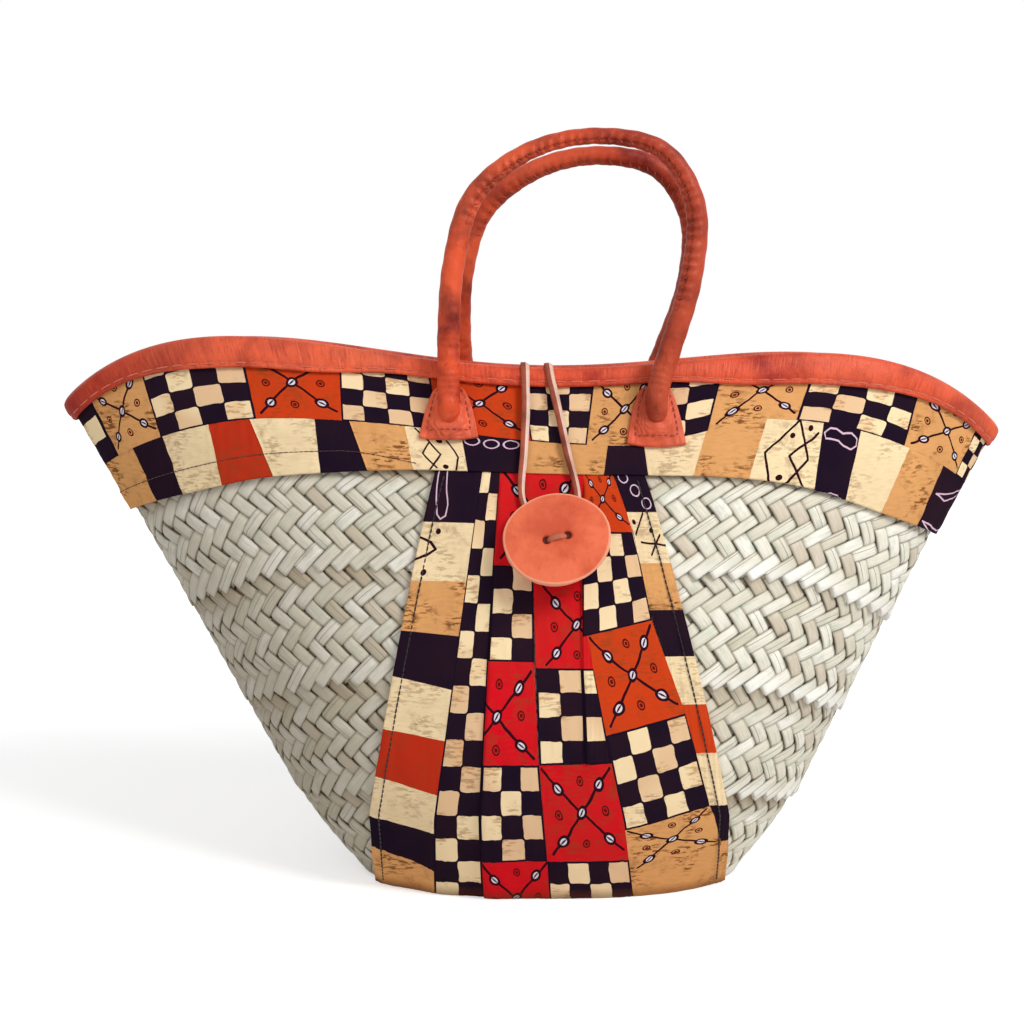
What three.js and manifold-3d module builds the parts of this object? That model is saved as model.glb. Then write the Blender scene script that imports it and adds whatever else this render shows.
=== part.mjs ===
// A plaited palm-leaf market basket with a leather rim, two rolled leather handles,
// printed cloth trim, and a leather button held by a thong loop.
// Millimetres, +Z up, the front faces -Y, the origin is the middle of the underside.
import * as THREE from "three";
import { mergeVertices } from "three/addons/utils/BufferGeometryUtils.js";
import Module from "manifold-3d";

const wasm = await Module();
wasm.setup();

// Wall: lengths and depths are taken at its inner face, heights at its upper edge.
const wallThickness = 5;
const mouthHalfLength = 275;
const mouthHalfDepth = 40;
const bellyHalfDepth = 96;
const footHalfLength = 113;
const footHalfDepth = 66;
const sideLineAtFloor = 125;
const rimHeightCentre = 303;
const rimHumpRise = 14;
const rimSkew = 8;
const mouthShift = -11;
const bellyShare = 0.35;
const tuckShare = 0.22;
const humpShare = 0.62;
const mouthSlopeShare = 1.6;
const footOutlineShare = 0.85;
const mouthOutlineShare = 1.08;
const seamShares = [0, 0.2, 0.4, 0.6, 0.8, 1];
const seamClearance = 0.3;

// Cloth: a band sewn round under the rim, and a pleated panel down the front.
const clothThickness = 1;
const clothClearance = 0.8;
const panelClearance = 0.8;
const bandHeightCentre = 56;
const bandHeightSides = 82;
const bandHeightTips = 64;
const bandTipShare = 0.72;
const bandTopMargin = 3;
const panelTopWidth = 118;
const panelFootWidth = 202;
const panelLeanAtTop = -7;
const panelFootMargin = 1;
const pleatRise = 1.4;
const pleatHalfWidth = 9;
const pleatTopShares = [-0.41, 0.36];
const pleatFootShares = [-0.4, 0.18];
const panelFlareShare = 0.9;
const panelSpreadShare = 0.8;
const panelRowShare = 1.3;

// Leather rim binding, folded over the edge of the wall and of the band.
const leatherThickness = 2;
const bindingHeightCentre = 8.6;
const bindingHeightSides = 16;
const bindingNarrowShare = 0.25;
const bindingWideShare = 0.52;
const bindingCrown = 3.4;
const bindingClearance = 0.6;

// Handles: a leather sleeve round a rope core, on pads sewn below the rim.
const padBelowRim = 11;
const padTopHeight = rimHeightCentre - padBelowRim;
const handleHalfSpan = 59;
const handleRise = 150;
const handleRadius = 6.4;
const sleeveThickness = 1.3;
const coreClearance = 0.5;
const coreEndOverhang = 0.5;
const coreEndRadius = handleRadius + coreEndOverhang;
const coreTipShare = 0.35;
const handleLeanDegrees = 6;
const backHandleShift = 6;
const pivotDrop = 8;
const padHeight = 27;
const padTopWidth = 24;
const padFootWidth = 33;
const padClearance = 0.4;
const padLedge = 0.6;
const swellingShares = [
  { down: 0.35, rise: 0.8, ridge: 0.95 },
  { down: 0.75, rise: 0.35, ridge: 0.8 },
  { down: 1, rise: 0.06, ridge: 0.6 },
];
const ridgeShares = [-1, -0.87, -0.5, 0, 0.5, 0.87, 1];
const handleShares = [
  [-1, 0],
  [-1, 0.12],
  [-1, 0.26],
  [-0.95, 0.52],
  [-0.76, 0.77],
  [-0.24, 0.94],
  [0.41, 1],
  [1.06, 0.945],
  [1.37, 0.745],
  [1.34, 0.474],
  [1.13, 0.19],
  [1.05, 0.09],
  [1, 0],
];

// Button: two leather layers on a thong, with a twisted neck and a knot behind the wall.
const buttonWidth = 60;
const buttonHeight = 54;
const buttonFaceThickness = 3.2;
const buttonBackingThickness = 2.6;
const buttonDome = 1.2;
const buttonEdgeShare = 0.3;
const buttonX = 1.7;
const buttonBelowRim = 96;
const buttonCentreHeight = rimHeightCentre - buttonBelowRim;
const buttonTiltDegrees = 12;
const buttonTwistDegrees = 14;
const layerClearance = 0.3;
const tieHoleSpacing = 12;
const tieRadius = 1.6;
const tieClearance = 0.3;
const tieArchShare = 0.5;
const neckRadius = 3.2;
const neckFlareHeight = 2.6;
const neckFlareRadius = tieHoleSpacing / 2 + tieRadius;
const knotRadius = 7;
const knotHeight = 6;
const knotShaftRadius = 2.2;
const knotShares = [
  [0.6, 1],
  [1, 0.5],
  [0.7, 0],
];

// Closure loop: one flat thong from the back rim over the front rim and round the neck.
const loopWidth = 5;
const loopThickness = 1.8;
const loopClearance = 0.9;
const loopRimX = -8.8;
const loopRimSpacing = 13.5;
const loopAnchorLength = 16;
const loopAnchorBendShare = 0.55;
const loopLeaveShare = 0.12;
const loopSpreadX = 15.5;
const loopSpreadShift = -3.5;
const loopSpreadRise = 26;
const loopDownDepths = [5.4, 12.6, 18.9];
const loopCrownDegrees = [150, 110, 70, 35];
const loopBightDegrees = [170, 215, 270, 325, 370];
const neckLength = loopThickness + 2 * loopClearance + neckFlareHeight;

const ringSteps = 52;
const sleeveSteps = 28;
const endDensityShare = 0.15;
const weldDistance = 1e-4;
const degree = Math.PI / 180;
const front = -1;
const back = 1;

const palm = new THREE.MeshStandardMaterial({ color: 0xc2c1a4, roughness: 0.75, metalness: 0 });
const leather = new THREE.MeshStandardMaterial({ color: 0xc24a2e, roughness: 0.5, metalness: 0 });
const paleLeather = new THREE.MeshStandardMaterial({ color: 0xe07a52, roughness: 0.6, metalness: 0 });
const rope = new THREE.MeshStandardMaterial({ color: 0xb59a6a, roughness: 0.9, metalness: 0 });
const thong = new THREE.MeshStandardMaterial({ color: 0x9a5a38, roughness: 0.6, metalness: 0 });
const cloth = new THREE.MeshStandardMaterial({ color: 0xc98a4a, roughness: 0.85, metalness: 0 });

// The basket's wall as a formula.

// A power that keeps the sign of its base.
function signedPower(value, exponent) {
  return Math.sign(value) * Math.abs(value) ** exponent;
}

// Height of the wall's upper edge where it is this share of the mouth's half-length to the right.
function rimHeight(across) {
  const hump = 1 - (1 - (across / humpShare) ** 2) ** 2;
  return rimHeightCentre + rimHumpRise * hump - rimSkew * across;
}

function halfLength(share) {
  const line = THREE.MathUtils.lerp(sideLineAtFloor, mouthHalfLength, share);
  const tuck = Math.max(0, 1 - share / tuckShare) ** 2;
  return line - (sideLineAtFloor - footHalfLength) * tuck;
}

function halfDepth(share) {
  if (share < bellyShare)
    return bellyHalfDepth - (bellyHalfDepth - footHalfDepth) * (1 - share / bellyShare) ** 2;
  const rise = (share - bellyShare) / (1 - bellyShare);
  return bellyHalfDepth - (bellyHalfDepth - mouthHalfDepth) * rise ** mouthSlopeShare;
}

// Exponents of the plan outline: boxy at the foot, slightly pointed at the mouth.
function depthExponent(share) {
  return THREE.MathUtils.lerp(footOutlineShare, mouthOutlineShare, share);
}

function lengthExponent(share) {
  return Math.min(1, depthExponent(share));
}

// Inner face of the wall at a plan angle (0 at the right end, -90 degrees at the front)
// and at a share of the wall's height.
function innerPoint(angle, share) {
  const across = signedPower(Math.cos(angle), lengthExponent(share));
  const x = mouthShift * share + halfLength(share) * across;
  const y = halfDepth(share) * signedPower(Math.sin(angle), depthExponent(share));
  const z = wallThickness + share * (rimHeight(across) - wallThickness);
  return new THREE.Vector3(x, y, z);
}

function wallNormal(angle, share) {
  const step = 1e-3;
  const along = innerPoint(angle + step, share).sub(innerPoint(angle - step, share));
  const up = innerPoint(angle, share + step).sub(innerPoint(angle, share - step));
  return along.cross(up).normalize();
}

// A point of the wall, set out from its inner face by a distance.
function wallPoint(angle, share, out) {
  return innerPoint(angle, share).addScaledVector(wallNormal(angle, share), out);
}

// The plan angle and height share of the wall's inner face at a place seen from the front or back.
function wallPlace(side, x, height) {
  let across = 0;
  let share = 0;
  for (let pass = 0; pass < 6; pass++) {
    share = (height - wallThickness) / (rimHeight(across) - wallThickness);
    across = (x - mouthShift * share) / halfLength(share);
  }
  const cosine = signedPower(across, 1 / lengthExponent(share));
  return { angle: side * Math.acos(cosine), share };
}

function wallAt(side, x, height, out) {
  const place = wallPlace(side, x, height);
  return wallPoint(place.angle, place.share, out);
}

// A height share from a distance above (or, negative, below) the rim.
function shareFromRim(angle, above) {
  const across = signedPower(Math.cos(angle), lengthExponent(1));
  return 1 + above / (rimHeight(across) - wallThickness);
}

// Stack of layers outside the wall, as distances from its inner face.
const bandInner = wallThickness + clothClearance;
const bandOuter = bandInner + clothThickness;
const panelInner = wallThickness + panelClearance;
const panelOuter = panelInner + clothThickness;
const bindingInner = bandOuter + bindingClearance;
const bindingOuter = bindingInner + leatherThickness;
const bindingInsideFace = -bindingClearance;
const bindingInsideOuter = bindingInsideFace - leatherThickness;
const padInner = bandOuter + padClearance;
const padOuter = padInner + leatherThickness;

// Solids.

// A closed solid through a row of like sections, each a loop of points.
// An open row is closed by its first and last section, whose points pair up end to end.
function solidThrough(sections, endless) {
  const count = sections[0].length;
  const rows = sections.length;
  const faces = [];
  for (let row = 0; row < (endless ? rows : rows - 1); row++) {
    const here = row * count;
    const next = ((row + 1) % rows) * count;
    for (let i = 0; i < count; i++) {
      const j = (i + 1) % count;
      faces.push(here + i, here + j, next + j, here + i, next + j, next + i);
    }
  }
  if (!endless) {
    addCap(faces, 0, count, true);
    addCap(faces, (rows - 1) * count, count, false);
  }
  const geometry = new THREE.BufferGeometry();
  const values = sections.flat().flatMap((p) => [p.x, p.y, p.z]);
  geometry.setAttribute("position", new THREE.Float32BufferAttribute(values, 3));
  geometry.setIndex(faces);
  return facingOut(geometry);
}

function addCap(faces, first, count, turned) {
  for (let i = 0; i < count / 2 - 1; i++) {
    const ring = [i, i + 1, count - 2 - i, count - 1 - i].map((k) => first + k);
    const [a, b, c, d] = turned ? ring.reverse() : ring;
    faces.push(a, b, c);
    if (i + 1 < count - 2 - i) faces.push(a, c, d);
  }
}

// Turns every face round where the solid's volume comes out negative.
function facingOut(geometry) {
  const place = geometry.getAttribute("position");
  const index = geometry.getIndex();
  const corner = (k) => new THREE.Vector3().fromBufferAttribute(place, index.getX(k));
  let volume = 0;
  for (let k = 0; k < index.count; k += 3)
    volume += corner(k).dot(corner(k + 1).cross(corner(k + 2)));
  if (volume < 0)
    for (let k = 0; k < index.count; k += 3) {
      const swapped = index.getX(k + 1);
      index.setX(k + 1, index.getX(k + 2));
      index.setX(k + 2, swapped);
    }
  return geometry;
}

// The same geometry with shared corners, as a solid needs.
function welded(geometry) {
  geometry.deleteAttribute("uv");
  geometry.deleteAttribute("normal");
  return mergeVertices(geometry, weldDistance);
}

function toSolid(geometry) {
  const merged = welded(geometry.clone());
  const vertProperties = new Float32Array(merged.getAttribute("position").array);
  const triVerts = new Uint32Array(merged.getIndex().array);
  return new wasm.Manifold(new wasm.Mesh({ numProp: 3, vertProperties, triVerts }));
}

function toGeometry(solid) {
  const mesh = solid.getMesh();
  const geometry = new THREE.BufferGeometry();
  geometry.setAttribute("position", new THREE.BufferAttribute(mesh.vertProperties, mesh.numProp));
  geometry.setIndex(new THREE.BufferAttribute(mesh.triVerts, 1));
  return geometry;
}

function join(...geometries) {
  return toGeometry(geometries.map(toSolid).reduce((whole, piece) => whole.add(piece)));
}

function cut(geometry, ...tools) {
  return toGeometry(tools.map(toSolid).reduce((whole, tool) => whole.subtract(tool), toSolid(geometry)));
}

// A solid of revolution about +Z from points of (radius, height).
function turned(points, steps) {
  const profile = points.map(([radius, height]) => new THREE.Vector2(radius, height));
  return welded(new THREE.LatheGeometry(profile, steps).rotateX(Math.PI / 2));
}

// A straight round rod along +Z between two heights.
function rod(radius, low, high) {
  const sides = 10;
  const geometry = new THREE.CylinderGeometry(radius, radius, high - low, sides);
  return welded(geometry.rotateX(Math.PI / 2).translate(0, 0, (low + high) / 2));
}

// Plan angles all round, closer together at the two tight ends.
function ringAngles() {
  return Array.from({ length: ringSteps }, (_, i) => {
    const even = (i / ringSteps) * 2 * Math.PI;
    return even - endDensityShare * Math.sin(2 * even);
  });
}

function named(name, geometry, material) {
  const mesh = new THREE.Mesh(geometry, material);
  mesh.name = name;
  return mesh;
}

// The plaited palm body: a flat base and sewn rounds of one wide plait.

function baseGeometry() {
  const ring = (share, out, height) =>
    ringAngles().map((angle) => {
      const point = wallPoint(angle, share, out);
      if (height !== undefined) point.setZ(height);
      return point;
    });
  return solidThrough([ring(0, 0, 0), ring(0, wallThickness), ring(0, 0)], false);
}

function roundGeometry(low, high) {
  const sections = ringAngles().map((angle) => {
    const height = innerPoint(angle, 1).z - wallThickness;
    const from = low + seamClearance / height;
    const middle = (low + high) / 2;
    return [
      wallPoint(angle, from, 0),
      wallPoint(angle, middle, 0),
      wallPoint(angle, high, 0),
      wallPoint(angle, high, wallThickness),
      wallPoint(angle, middle, wallThickness),
      wallPoint(angle, from, wallThickness),
    ];
  });
  return solidThrough(sections, true);
}

// The printed band's lower edge is higher over the panel and at the two tips than between them.
function bandLowShare(angle) {
  const across = Math.abs(Math.cos(angle));
  const tip = Math.max(0, (across - bandTipShare) / (1 - bandTipShare)) ** 2;
  const sides = THREE.MathUtils.lerp(bandHeightSides, bandHeightTips, tip);
  const middle = (1 - across ** 2) ** 2;
  return shareFromRim(angle, -THREE.MathUtils.lerp(sides, bandHeightCentre, middle));
}

function bandGeometry() {
  const rows = 3;
  const sections = ringAngles().map((angle) => {
    const low = bandLowShare(angle);
    const high = shareFromRim(angle, -bandTopMargin);
    const levels = Array.from({ length: rows + 1 }, (_, i) => low + ((high - low) * i) / rows);
    return [
      ...levels.map((share) => wallPoint(angle, share, bandInner)),
      ...levels.reverse().map((share) => wallPoint(angle, share, bandOuter)),
    ];
  });
  return solidThrough(sections, true);
}

// The front panel hangs from the band's lower edge, spreads towards the foot,
// and turns in over the basket's bottom edge. Two pleats run down it.
function panelGeometry() {
  const rows = 12;
  const columns = 20;
  const bulgeAt = (across, fall, halfWidth) => {
    const near = (topShare, i) => {
      const place = THREE.MathUtils.lerp(topShare, pleatFootShares[i], fall);
      return Math.max(0, 1 - (Math.abs(across - place) * halfWidth) / pleatHalfWidth);
    };
    return pleatRise * Math.max(...pleatTopShares.map(near));
  };
  const edge = (place, out) => wallPoint(place.angle, place.share, out);
  const topAt = (x) => {
    const { angle } = wallPlace(front, x, rimHeightCentre - bandHeightCentre);
    return innerPoint(angle, bandLowShare(angle)).z - clothClearance;
  };
  const foot = wallThickness + panelFootMargin;
  const sections = [];
  for (let row = 0; row <= rows; row++) {
    const fall = 1 - (1 - row / rows) ** panelRowShare;
    const spread = Math.min(1, fall / panelSpreadShare) ** panelFlareShare;
    const halfWidth = THREE.MathUtils.lerp(panelTopWidth, panelFootWidth, spread) / 2;
    const middle = panelLeanAtTop * (1 - fall);
    const inner = [];
    const outer = [];
    for (let column = 0; column <= columns; column++) {
      const across = (2 * column) / columns - 1;
      const x = middle + across * halfWidth;
      const place = wallPlace(front, x, THREE.MathUtils.lerp(topAt(x), foot, fall));
      inner.push(edge(place, panelInner));
      outer.push(edge(place, panelOuter + bulgeAt(across, fall, halfWidth)));
    }
    sections.push([...inner, ...outer.reverse()]);
  }
  return solidThrough(sections, false);
}

// The rim binding is folded lower over the mouth's two sides than at its middle.
function bindingHeightAt(angle) {
  const across = Math.abs(Math.cos(angle));
  const share = (across - bindingNarrowShare) / (bindingWideShare - bindingNarrowShare);
  const wide = THREE.MathUtils.smoothstep(share, 0, 1);
  return THREE.MathUtils.lerp(bindingHeightCentre, bindingHeightSides, wide);
}

// The rim binding's section: an upturned U with a rounded crown.
function bindingGeometry() {
  const crownSteps = 6;
  const middle = (bindingOuter + bindingInsideOuter) / 2;
  const half = (bindingOuter - bindingInsideOuter) / 2;
  const outline = [
    [bindingInner, bindingClearance, 0],
    [bindingInner, 0, 1],
    [bindingOuter, 0, 1],
  ];
  for (let i = 0; i <= crownSteps; i++) {
    const turn = (i / crownSteps) * Math.PI;
    outline.push([middle + half * Math.cos(turn), bindingCrown * Math.sin(turn), 0]);
  }
  outline.push([bindingInsideOuter, 0, 1]);
  outline.push([bindingInsideFace, 0, 1]);
  outline.push([bindingInsideFace, bindingClearance, 0]);
  const sections = ringAngles().map((angle) =>
    outline.map(([out, above, low]) => {
      return wallPoint(angle, shareFromRim(angle, above - low * bindingHeightAt(angle)), out);
    }),
  );
  return solidThrough(sections, true);
}

// Handles.

// Where a handle's two legs turn, on a line along X just outside its pads.
function pivot(side) {
  const out = padOuter + padClearance + coreEndRadius;
  const legs = [-1, 1].map((hand) => wallAt(side, legX(side, hand), padTopHeight - pivotDrop, out));
  const y = side * Math.max(...legs.map((leg) => Math.abs(leg.y)));
  return new THREE.Vector3(0, y, legs[0].z);
}

function legX(side, hand) {
  return hand * handleHalfSpan + (side === back ? backHandleShift : 0);
}

// The handle's centreline stands on the pivot line and leans inwards over the mouth.
function handleCurve(side) {
  const lean = handleLeanDegrees * degree;
  const shift = side === back ? backHandleShift : 0;
  const foot = pivot(side);
  const points = handleShares.map(([acrossShare, riseShare]) => {
    const rise = handleRise * riseShare;
    return new THREE.Vector3(
      shift + handleHalfSpan * acrossShare,
      foot.y - side * rise * Math.sin(lean),
      foot.z + rise * Math.cos(lean),
    );
  });
  return new THREE.CatmullRomCurve3(points, false, "centripetal");
}

// Distances along a handle at which its sleeve, and the core inside it, have their sections.
function sleeveStations(length) {
  const margin = coreEndRadius + coreClearance;
  return Array.from({ length: sleeveSteps + 1 }, (_, i) => {
    return THREE.MathUtils.lerp(margin, length - margin, i / sleeveSteps);
  });
}

function tubeGeometry(curve, outerRadius, innerRadius, steps) {
  const halfSides = 5;
  const shape = new THREE.Shape().absarc(0, 0, outerRadius, 0, 2 * Math.PI);
  shape.holes.push(new THREE.Path().absarc(0, 0, innerRadius, 0, 2 * Math.PI, true));
  const options = { steps, bevelEnabled: false, extrudePath: curve, curveSegments: halfSides };
  return welded(new THREE.ExtrudeGeometry(shape, options));
}

function sleeveGeometry(side) {
  const curve = handleCurve(side);
  const length = curve.getLength();
  const points = sleeveStations(length).map((along) => curve.getPointAt(along / length));
  const stretch = new THREE.CatmullRomCurve3(points, false, "centripetal");
  return tubeGeometry(stretch, handleRadius, handleRadius - sleeveThickness, sleeveSteps);
}

// A rope core that ends in a ball at each pivot.
function coreGeometry(side) {
  const sides = 10;
  const ballSteps = 4;
  const curve = handleCurve(side);
  const length = curve.getLength();
  const radius = handleRadius - sleeveThickness - coreClearance;
  const least = Math.asin(radius / coreEndRadius);
  const rounds = Array.from({ length: ballSteps + 1 }, (_, i) => {
    const turn = THREE.MathUtils.lerp(Math.PI - coreTipShare * least, least, i / ballSteps);
    return { along: coreEndRadius * Math.cos(turn), radius: coreEndRadius * Math.sin(turn) };
  });
  const middle = sleeveStations(length).map((along) => ({ along, radius }));
  const otherEnd = rounds.map((ring) => ({ along: length - ring.along, radius: ring.radius }));
  const lean = handleLeanDegrees * degree;
  const across = new THREE.Vector3(0, Math.cos(lean), side * Math.sin(lean));
  const sections = [...rounds, ...middle, ...otherEnd.reverse()].map((ring) => {
    const share = THREE.MathUtils.clamp(ring.along / length, 0, 1);
    const tangent = curve.getTangentAt(share);
    const centre = curve.getPointAt(share).addScaledVector(tangent, ring.along - share * length);
    const beside = new THREE.Vector3().crossVectors(tangent, across);
    return circle(centre, ring.radius, sides, beside, across);
  });
  return solidThrough(sections, false);
}

function circle(centre, radius, sides, first, second) {
  return Array.from({ length: sides }, (_, i) => {
    const turn = (i / sides) * 2 * Math.PI;
    const point = centre.clone().addScaledVector(first, radius * Math.cos(turn));
    return point.addScaledVector(second, radius * Math.sin(turn));
  });
}

// A pad: a trapezoid of leather sewn to the wall, swollen below the seat of the core's end.
// Each row gives how far down it lies, its half-width, and the swelling's rise and half-width.
function padGeometry(side, hand) {
  const x = legX(side, hand);
  const tip = pivot(side);
  const face = (height) => wallAt(side, x, height, padOuter);
  const seat = tip.z - coreEndRadius - coreClearance - (face(padTopHeight).z - padTopHeight);
  const fullRise = Math.abs(tip.y) + handleRadius - Math.abs(face(seat).y);
  const rows = [
    { height: padTopHeight, rise: 0, ridge: handleRadius },
    { height: seat + padLedge, rise: 0, ridge: handleRadius },
    { height: seat, rise: fullRise, ridge: handleRadius },
    ...swellingShares.map((share) => ({
      height: THREE.MathUtils.lerp(seat, padTopHeight - padHeight, share.down),
      rise: share.rise * fullRise,
      ridge: share.ridge * handleRadius,
    })),
  ];
  const sections = rows.map(({ height, rise, ridge }) => {
    const fall = (padTopHeight - height) / padHeight;
    const half = THREE.MathUtils.lerp(padTopWidth, padFootWidth, fall) / 2;
    const places = [-half, ...ridgeShares.map((share) => share * ridge), half];
    const inner = places.map((u) => wallAt(side, x + u, height, padInner));
    const outer = places.map((u) => {
      const roundness = Math.sqrt(Math.max(0, 1 - (u / ridge) ** 2));
      const point = wallAt(side, x + u, height, padOuter);
      point.y += side * rise * roundness;
      return point;
    });
    return [...inner, ...outer.reverse()];
  });
  return solidThrough(sections, false);
}

// Button, neck, tie and knot, built about +Z and turned to the front as one group.

const neckCentreOut = panelOuter + pleatRise + layerClearance + neckRadius;
const backingLow = neckLength + layerClearance;
const faceLow = backingLow + buttonBackingThickness + layerClearance;
const faceTop = faceLow + buttonFaceThickness;

function discGeometry(low, thickness, dome) {
  const steps = 28;
  const radius = buttonWidth / 2;
  const soft = thickness * buttonEdgeShare;
  const flat = tieHoleSpacing;
  const points = [
    [0, low],
    [radius - soft, low],
    [radius, low + soft],
    [radius, low + thickness - soft - dome],
    [radius - soft, low + thickness - dome],
    [flat, low + thickness],
    [0, low + thickness],
  ];
  return turned(points, steps).scale(1, buttonHeight / buttonWidth, 1);
}

function tieHoles() {
  const overrun = buttonWidth;
  return [-1, 1].map((hand) =>
    rod(tieRadius + tieClearance, -overrun, overrun).translate((hand * tieHoleSpacing) / 2, 0, 0),
  );
}

// The thong's bridge over the button's face, and its two legs down through the holes.
function tieGeometry() {
  const arch = new THREE.Shape();
  const reach = tieHoleSpacing / 2 + tieRadius;
  arch.moveTo(-reach, 0);
  arch.lineTo(reach, 0);
  arch.quadraticCurveTo(reach, tieRadius, reach * tieArchShare, 2 * tieRadius);
  arch.lineTo(-reach * tieArchShare, 2 * tieRadius);
  arch.quadraticCurveTo(-reach, tieRadius, -reach, 0);
  const options = { depth: 2 * tieRadius, bevelEnabled: false, curveSegments: 4 };
  const bridge = new THREE.ExtrudeGeometry(arch, options);
  bridge.translate(0, 0, -tieRadius).rotateX(Math.PI / 2);
  bridge.translate(0, 0, faceTop + tieClearance);
  const legs = [-1, 1].map((hand) =>
    rod(tieRadius, backingLow, faceTop + tieRadius).translate((hand * tieHoleSpacing) / 2, 0, 0),
  );
  return join(bridge, ...legs);
}

function neckGeometry() {
  const turn = [45, 20].map((angle) => angle * degree);
  return turned(
    [
      [0, -neckRadius],
      ...turn.map((t) => [neckRadius * Math.cos(t), -neckRadius * Math.sin(t)]),
      [neckRadius, 0],
      [neckRadius, neckLength - neckFlareHeight],
      [neckFlareRadius, neckLength],
      [0, neckLength],
    ],
    12,
  );
}

// The knot lies behind the wall, and its shaft comes out flush with the panel.
function knotGeometry() {
  const low = -2 * layerClearance;
  return turned(
    [
      [0, low - knotHeight],
      ...knotShares.map(([radius, depth]) => [knotRadius * radius, low - knotHeight * depth]),
      [knotShaftRadius, low],
      [knotShaftRadius, panelOuter + pleatRise],
      [0, panelOuter + pleatRise],
    ],
    12,
  );
}

const buttonPlace = wallPlace(front, buttonX, buttonCentreHeight);
const buttonNormal = wallNormal(buttonPlace.angle, buttonPlace.share);
const wallElevation = Math.asin(buttonNormal.z);

function neckCentre() {
  return wallPoint(buttonPlace.angle, buttonPlace.share, neckCentreOut);
}

// The hole that the knot's shaft passes through, square to the wall.
function shaftHole() {
  const hole = rod(knotShaftRadius + tieClearance, -wallThickness, neckCentreOut + wallThickness);
  return hole.applyMatrix4(squareToWall());
}

function squareToWall() {
  const turn = new THREE.Quaternion().setFromUnitVectors(new THREE.Vector3(0, 0, 1), buttonNormal);
  const at = wallPoint(buttonPlace.angle, buttonPlace.share, 0);
  return new THREE.Matrix4().compose(at, turn, new THREE.Vector3(1, 1, 1));
}

// Closure loop.

// Points of one strand from the back rim to the top of the button; hand is -1 left, 1 right.
function strandPoints(hand) {
  const x = loopRimX + (hand * loopRimSpacing) / 2;
  const lift = loopClearance + loopThickness / 2;
  const spreadX = buttonX + loopSpreadShift + hand * loopSpreadX;
  const spreadHeight = buttonCentreHeight + loopSpreadRise;
  const at = (side, out, above) => {
    const slant = side === front ? Math.max(0, -above) / (rimHeightCentre - spreadHeight) : 0;
    const { angle } = wallPlace(side, THREE.MathUtils.lerp(x, spreadX, slant), rimHeightCentre);
    return wallPoint(angle, shareFromRim(angle, above), out);
  };
  const crownMiddle = (bindingOuter + bindingInsideOuter) / 2;
  const crownHalf = (bindingOuter - bindingInsideOuter) / 2;
  const start = at(back, bindingInsideOuter - lift, -loopAnchorLength);
  const bend = at(back, bindingInsideOuter - lift, -loopAnchorBendShare * loopAnchorLength);
  const overCrown = loopCrownDegrees.map((angle) =>
    at(
      front,
      crownMiddle + (crownHalf + lift) * Math.cos(angle * degree),
      (bindingCrown + lift) * Math.sin(angle * degree),
    ),
  );
  const leave = bend.clone().lerp(overCrown[0], loopLeaveShare);
  const across = bend.clone().lerp(overCrown[0], 1 / 2);
  leave.z += bindingCrown;
  across.z += bindingCrown;
  const down = loopDownDepths.map((depth) => at(front, bindingOuter + lift, -depth));
  const spread = wallAt(front, spreadX, spreadHeight, panelOuter + pleatRise + lift);
  const half = down.at(-1).clone().lerp(spread, 1 / 2);
  return [start, bend, leave, across, ...overCrown, ...down, half, spread];
}

function loopCurve() {
  const lift = loopClearance + loopThickness / 2;
  const radius = neckRadius + loopClearance + loopWidth / 2;
  const bight = loopBightDegrees.map((angle) =>
    wallAt(
      front,
      buttonX + radius * Math.cos(angle * degree),
      buttonCentreHeight + radius * Math.sin(angle * degree),
      panelOuter + pleatRise + lift,
    ),
  );
  const near = [-1, 1].map((hand) =>
    wallAt(
      front,
      buttonX + (hand * (radius + loopSpreadX) + loopSpreadShift) / 2,
      buttonCentreHeight + loopSpreadRise / 2,
      panelOuter + pleatRise + lift,
    ),
  );
  const points = [...strandPoints(-1), near[0], ...bight, near[1], ...strandPoints(1).reverse()];
  return new THREE.CatmullRomCurve3(points, false, "centripetal");
}

// A flat strap along a curve, carried without twist from a first flat direction.
function strapGeometry(curve, steps, width, thickness, firstNormal) {
  let normal = firstNormal.clone();
  const sections = [];
  for (let i = 0; i <= steps; i++) {
    const centre = curve.getPoint(i / steps);
    const tangent = curve.getTangent(i / steps);
    normal.addScaledVector(tangent, -normal.dot(tangent)).normalize();
    const side = new THREE.Vector3().crossVectors(tangent, normal);
    const corner = (across, out) => {
      const edge = centre.clone().addScaledVector(side, (across * width) / 2);
      return edge.addScaledVector(normal, (out * thickness) / 2);
    };
    sections.push([corner(-1, -1), corner(1, -1), corner(1, 1), corner(-1, 1)]);
  }
  return solidThrough(sections, false);
}

function loopGeometry() {
  const steps = 96;
  return strapGeometry(loopCurve(), steps, loopWidth, loopThickness, new THREE.Vector3(0, -1, 0));
}

// Assembly.

const basket = new THREE.Group();
basket.add(named("plaited_base", baseGeometry(), palm));
for (let i = 1; i < seamShares.length; i++) {
  const round = cut(roundGeometry(seamShares[i - 1], seamShares[i]), shaftHole());
  basket.add(named(`plait_round_${i}`, round, palm));
}
basket.add(named("rim_binding", bindingGeometry(), leather));
basket.add(named("cloth_band", bandGeometry(), cloth));
basket.add(named("cloth_front_panel", cut(panelGeometry(), shaftHole()), cloth));

for (const [side, place] of [
  [front, "front"],
  [back, "back"],
]) {
  basket.add(named(`${place}_handle_sleeve`, sleeveGeometry(side), leather));
  basket.add(named(`${place}_handle_core`, coreGeometry(side), rope));
  basket.add(named(`${place}_left_pad`, padGeometry(side, -1), leather));
  basket.add(named(`${place}_right_pad`, padGeometry(side, 1), leather));
}

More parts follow.
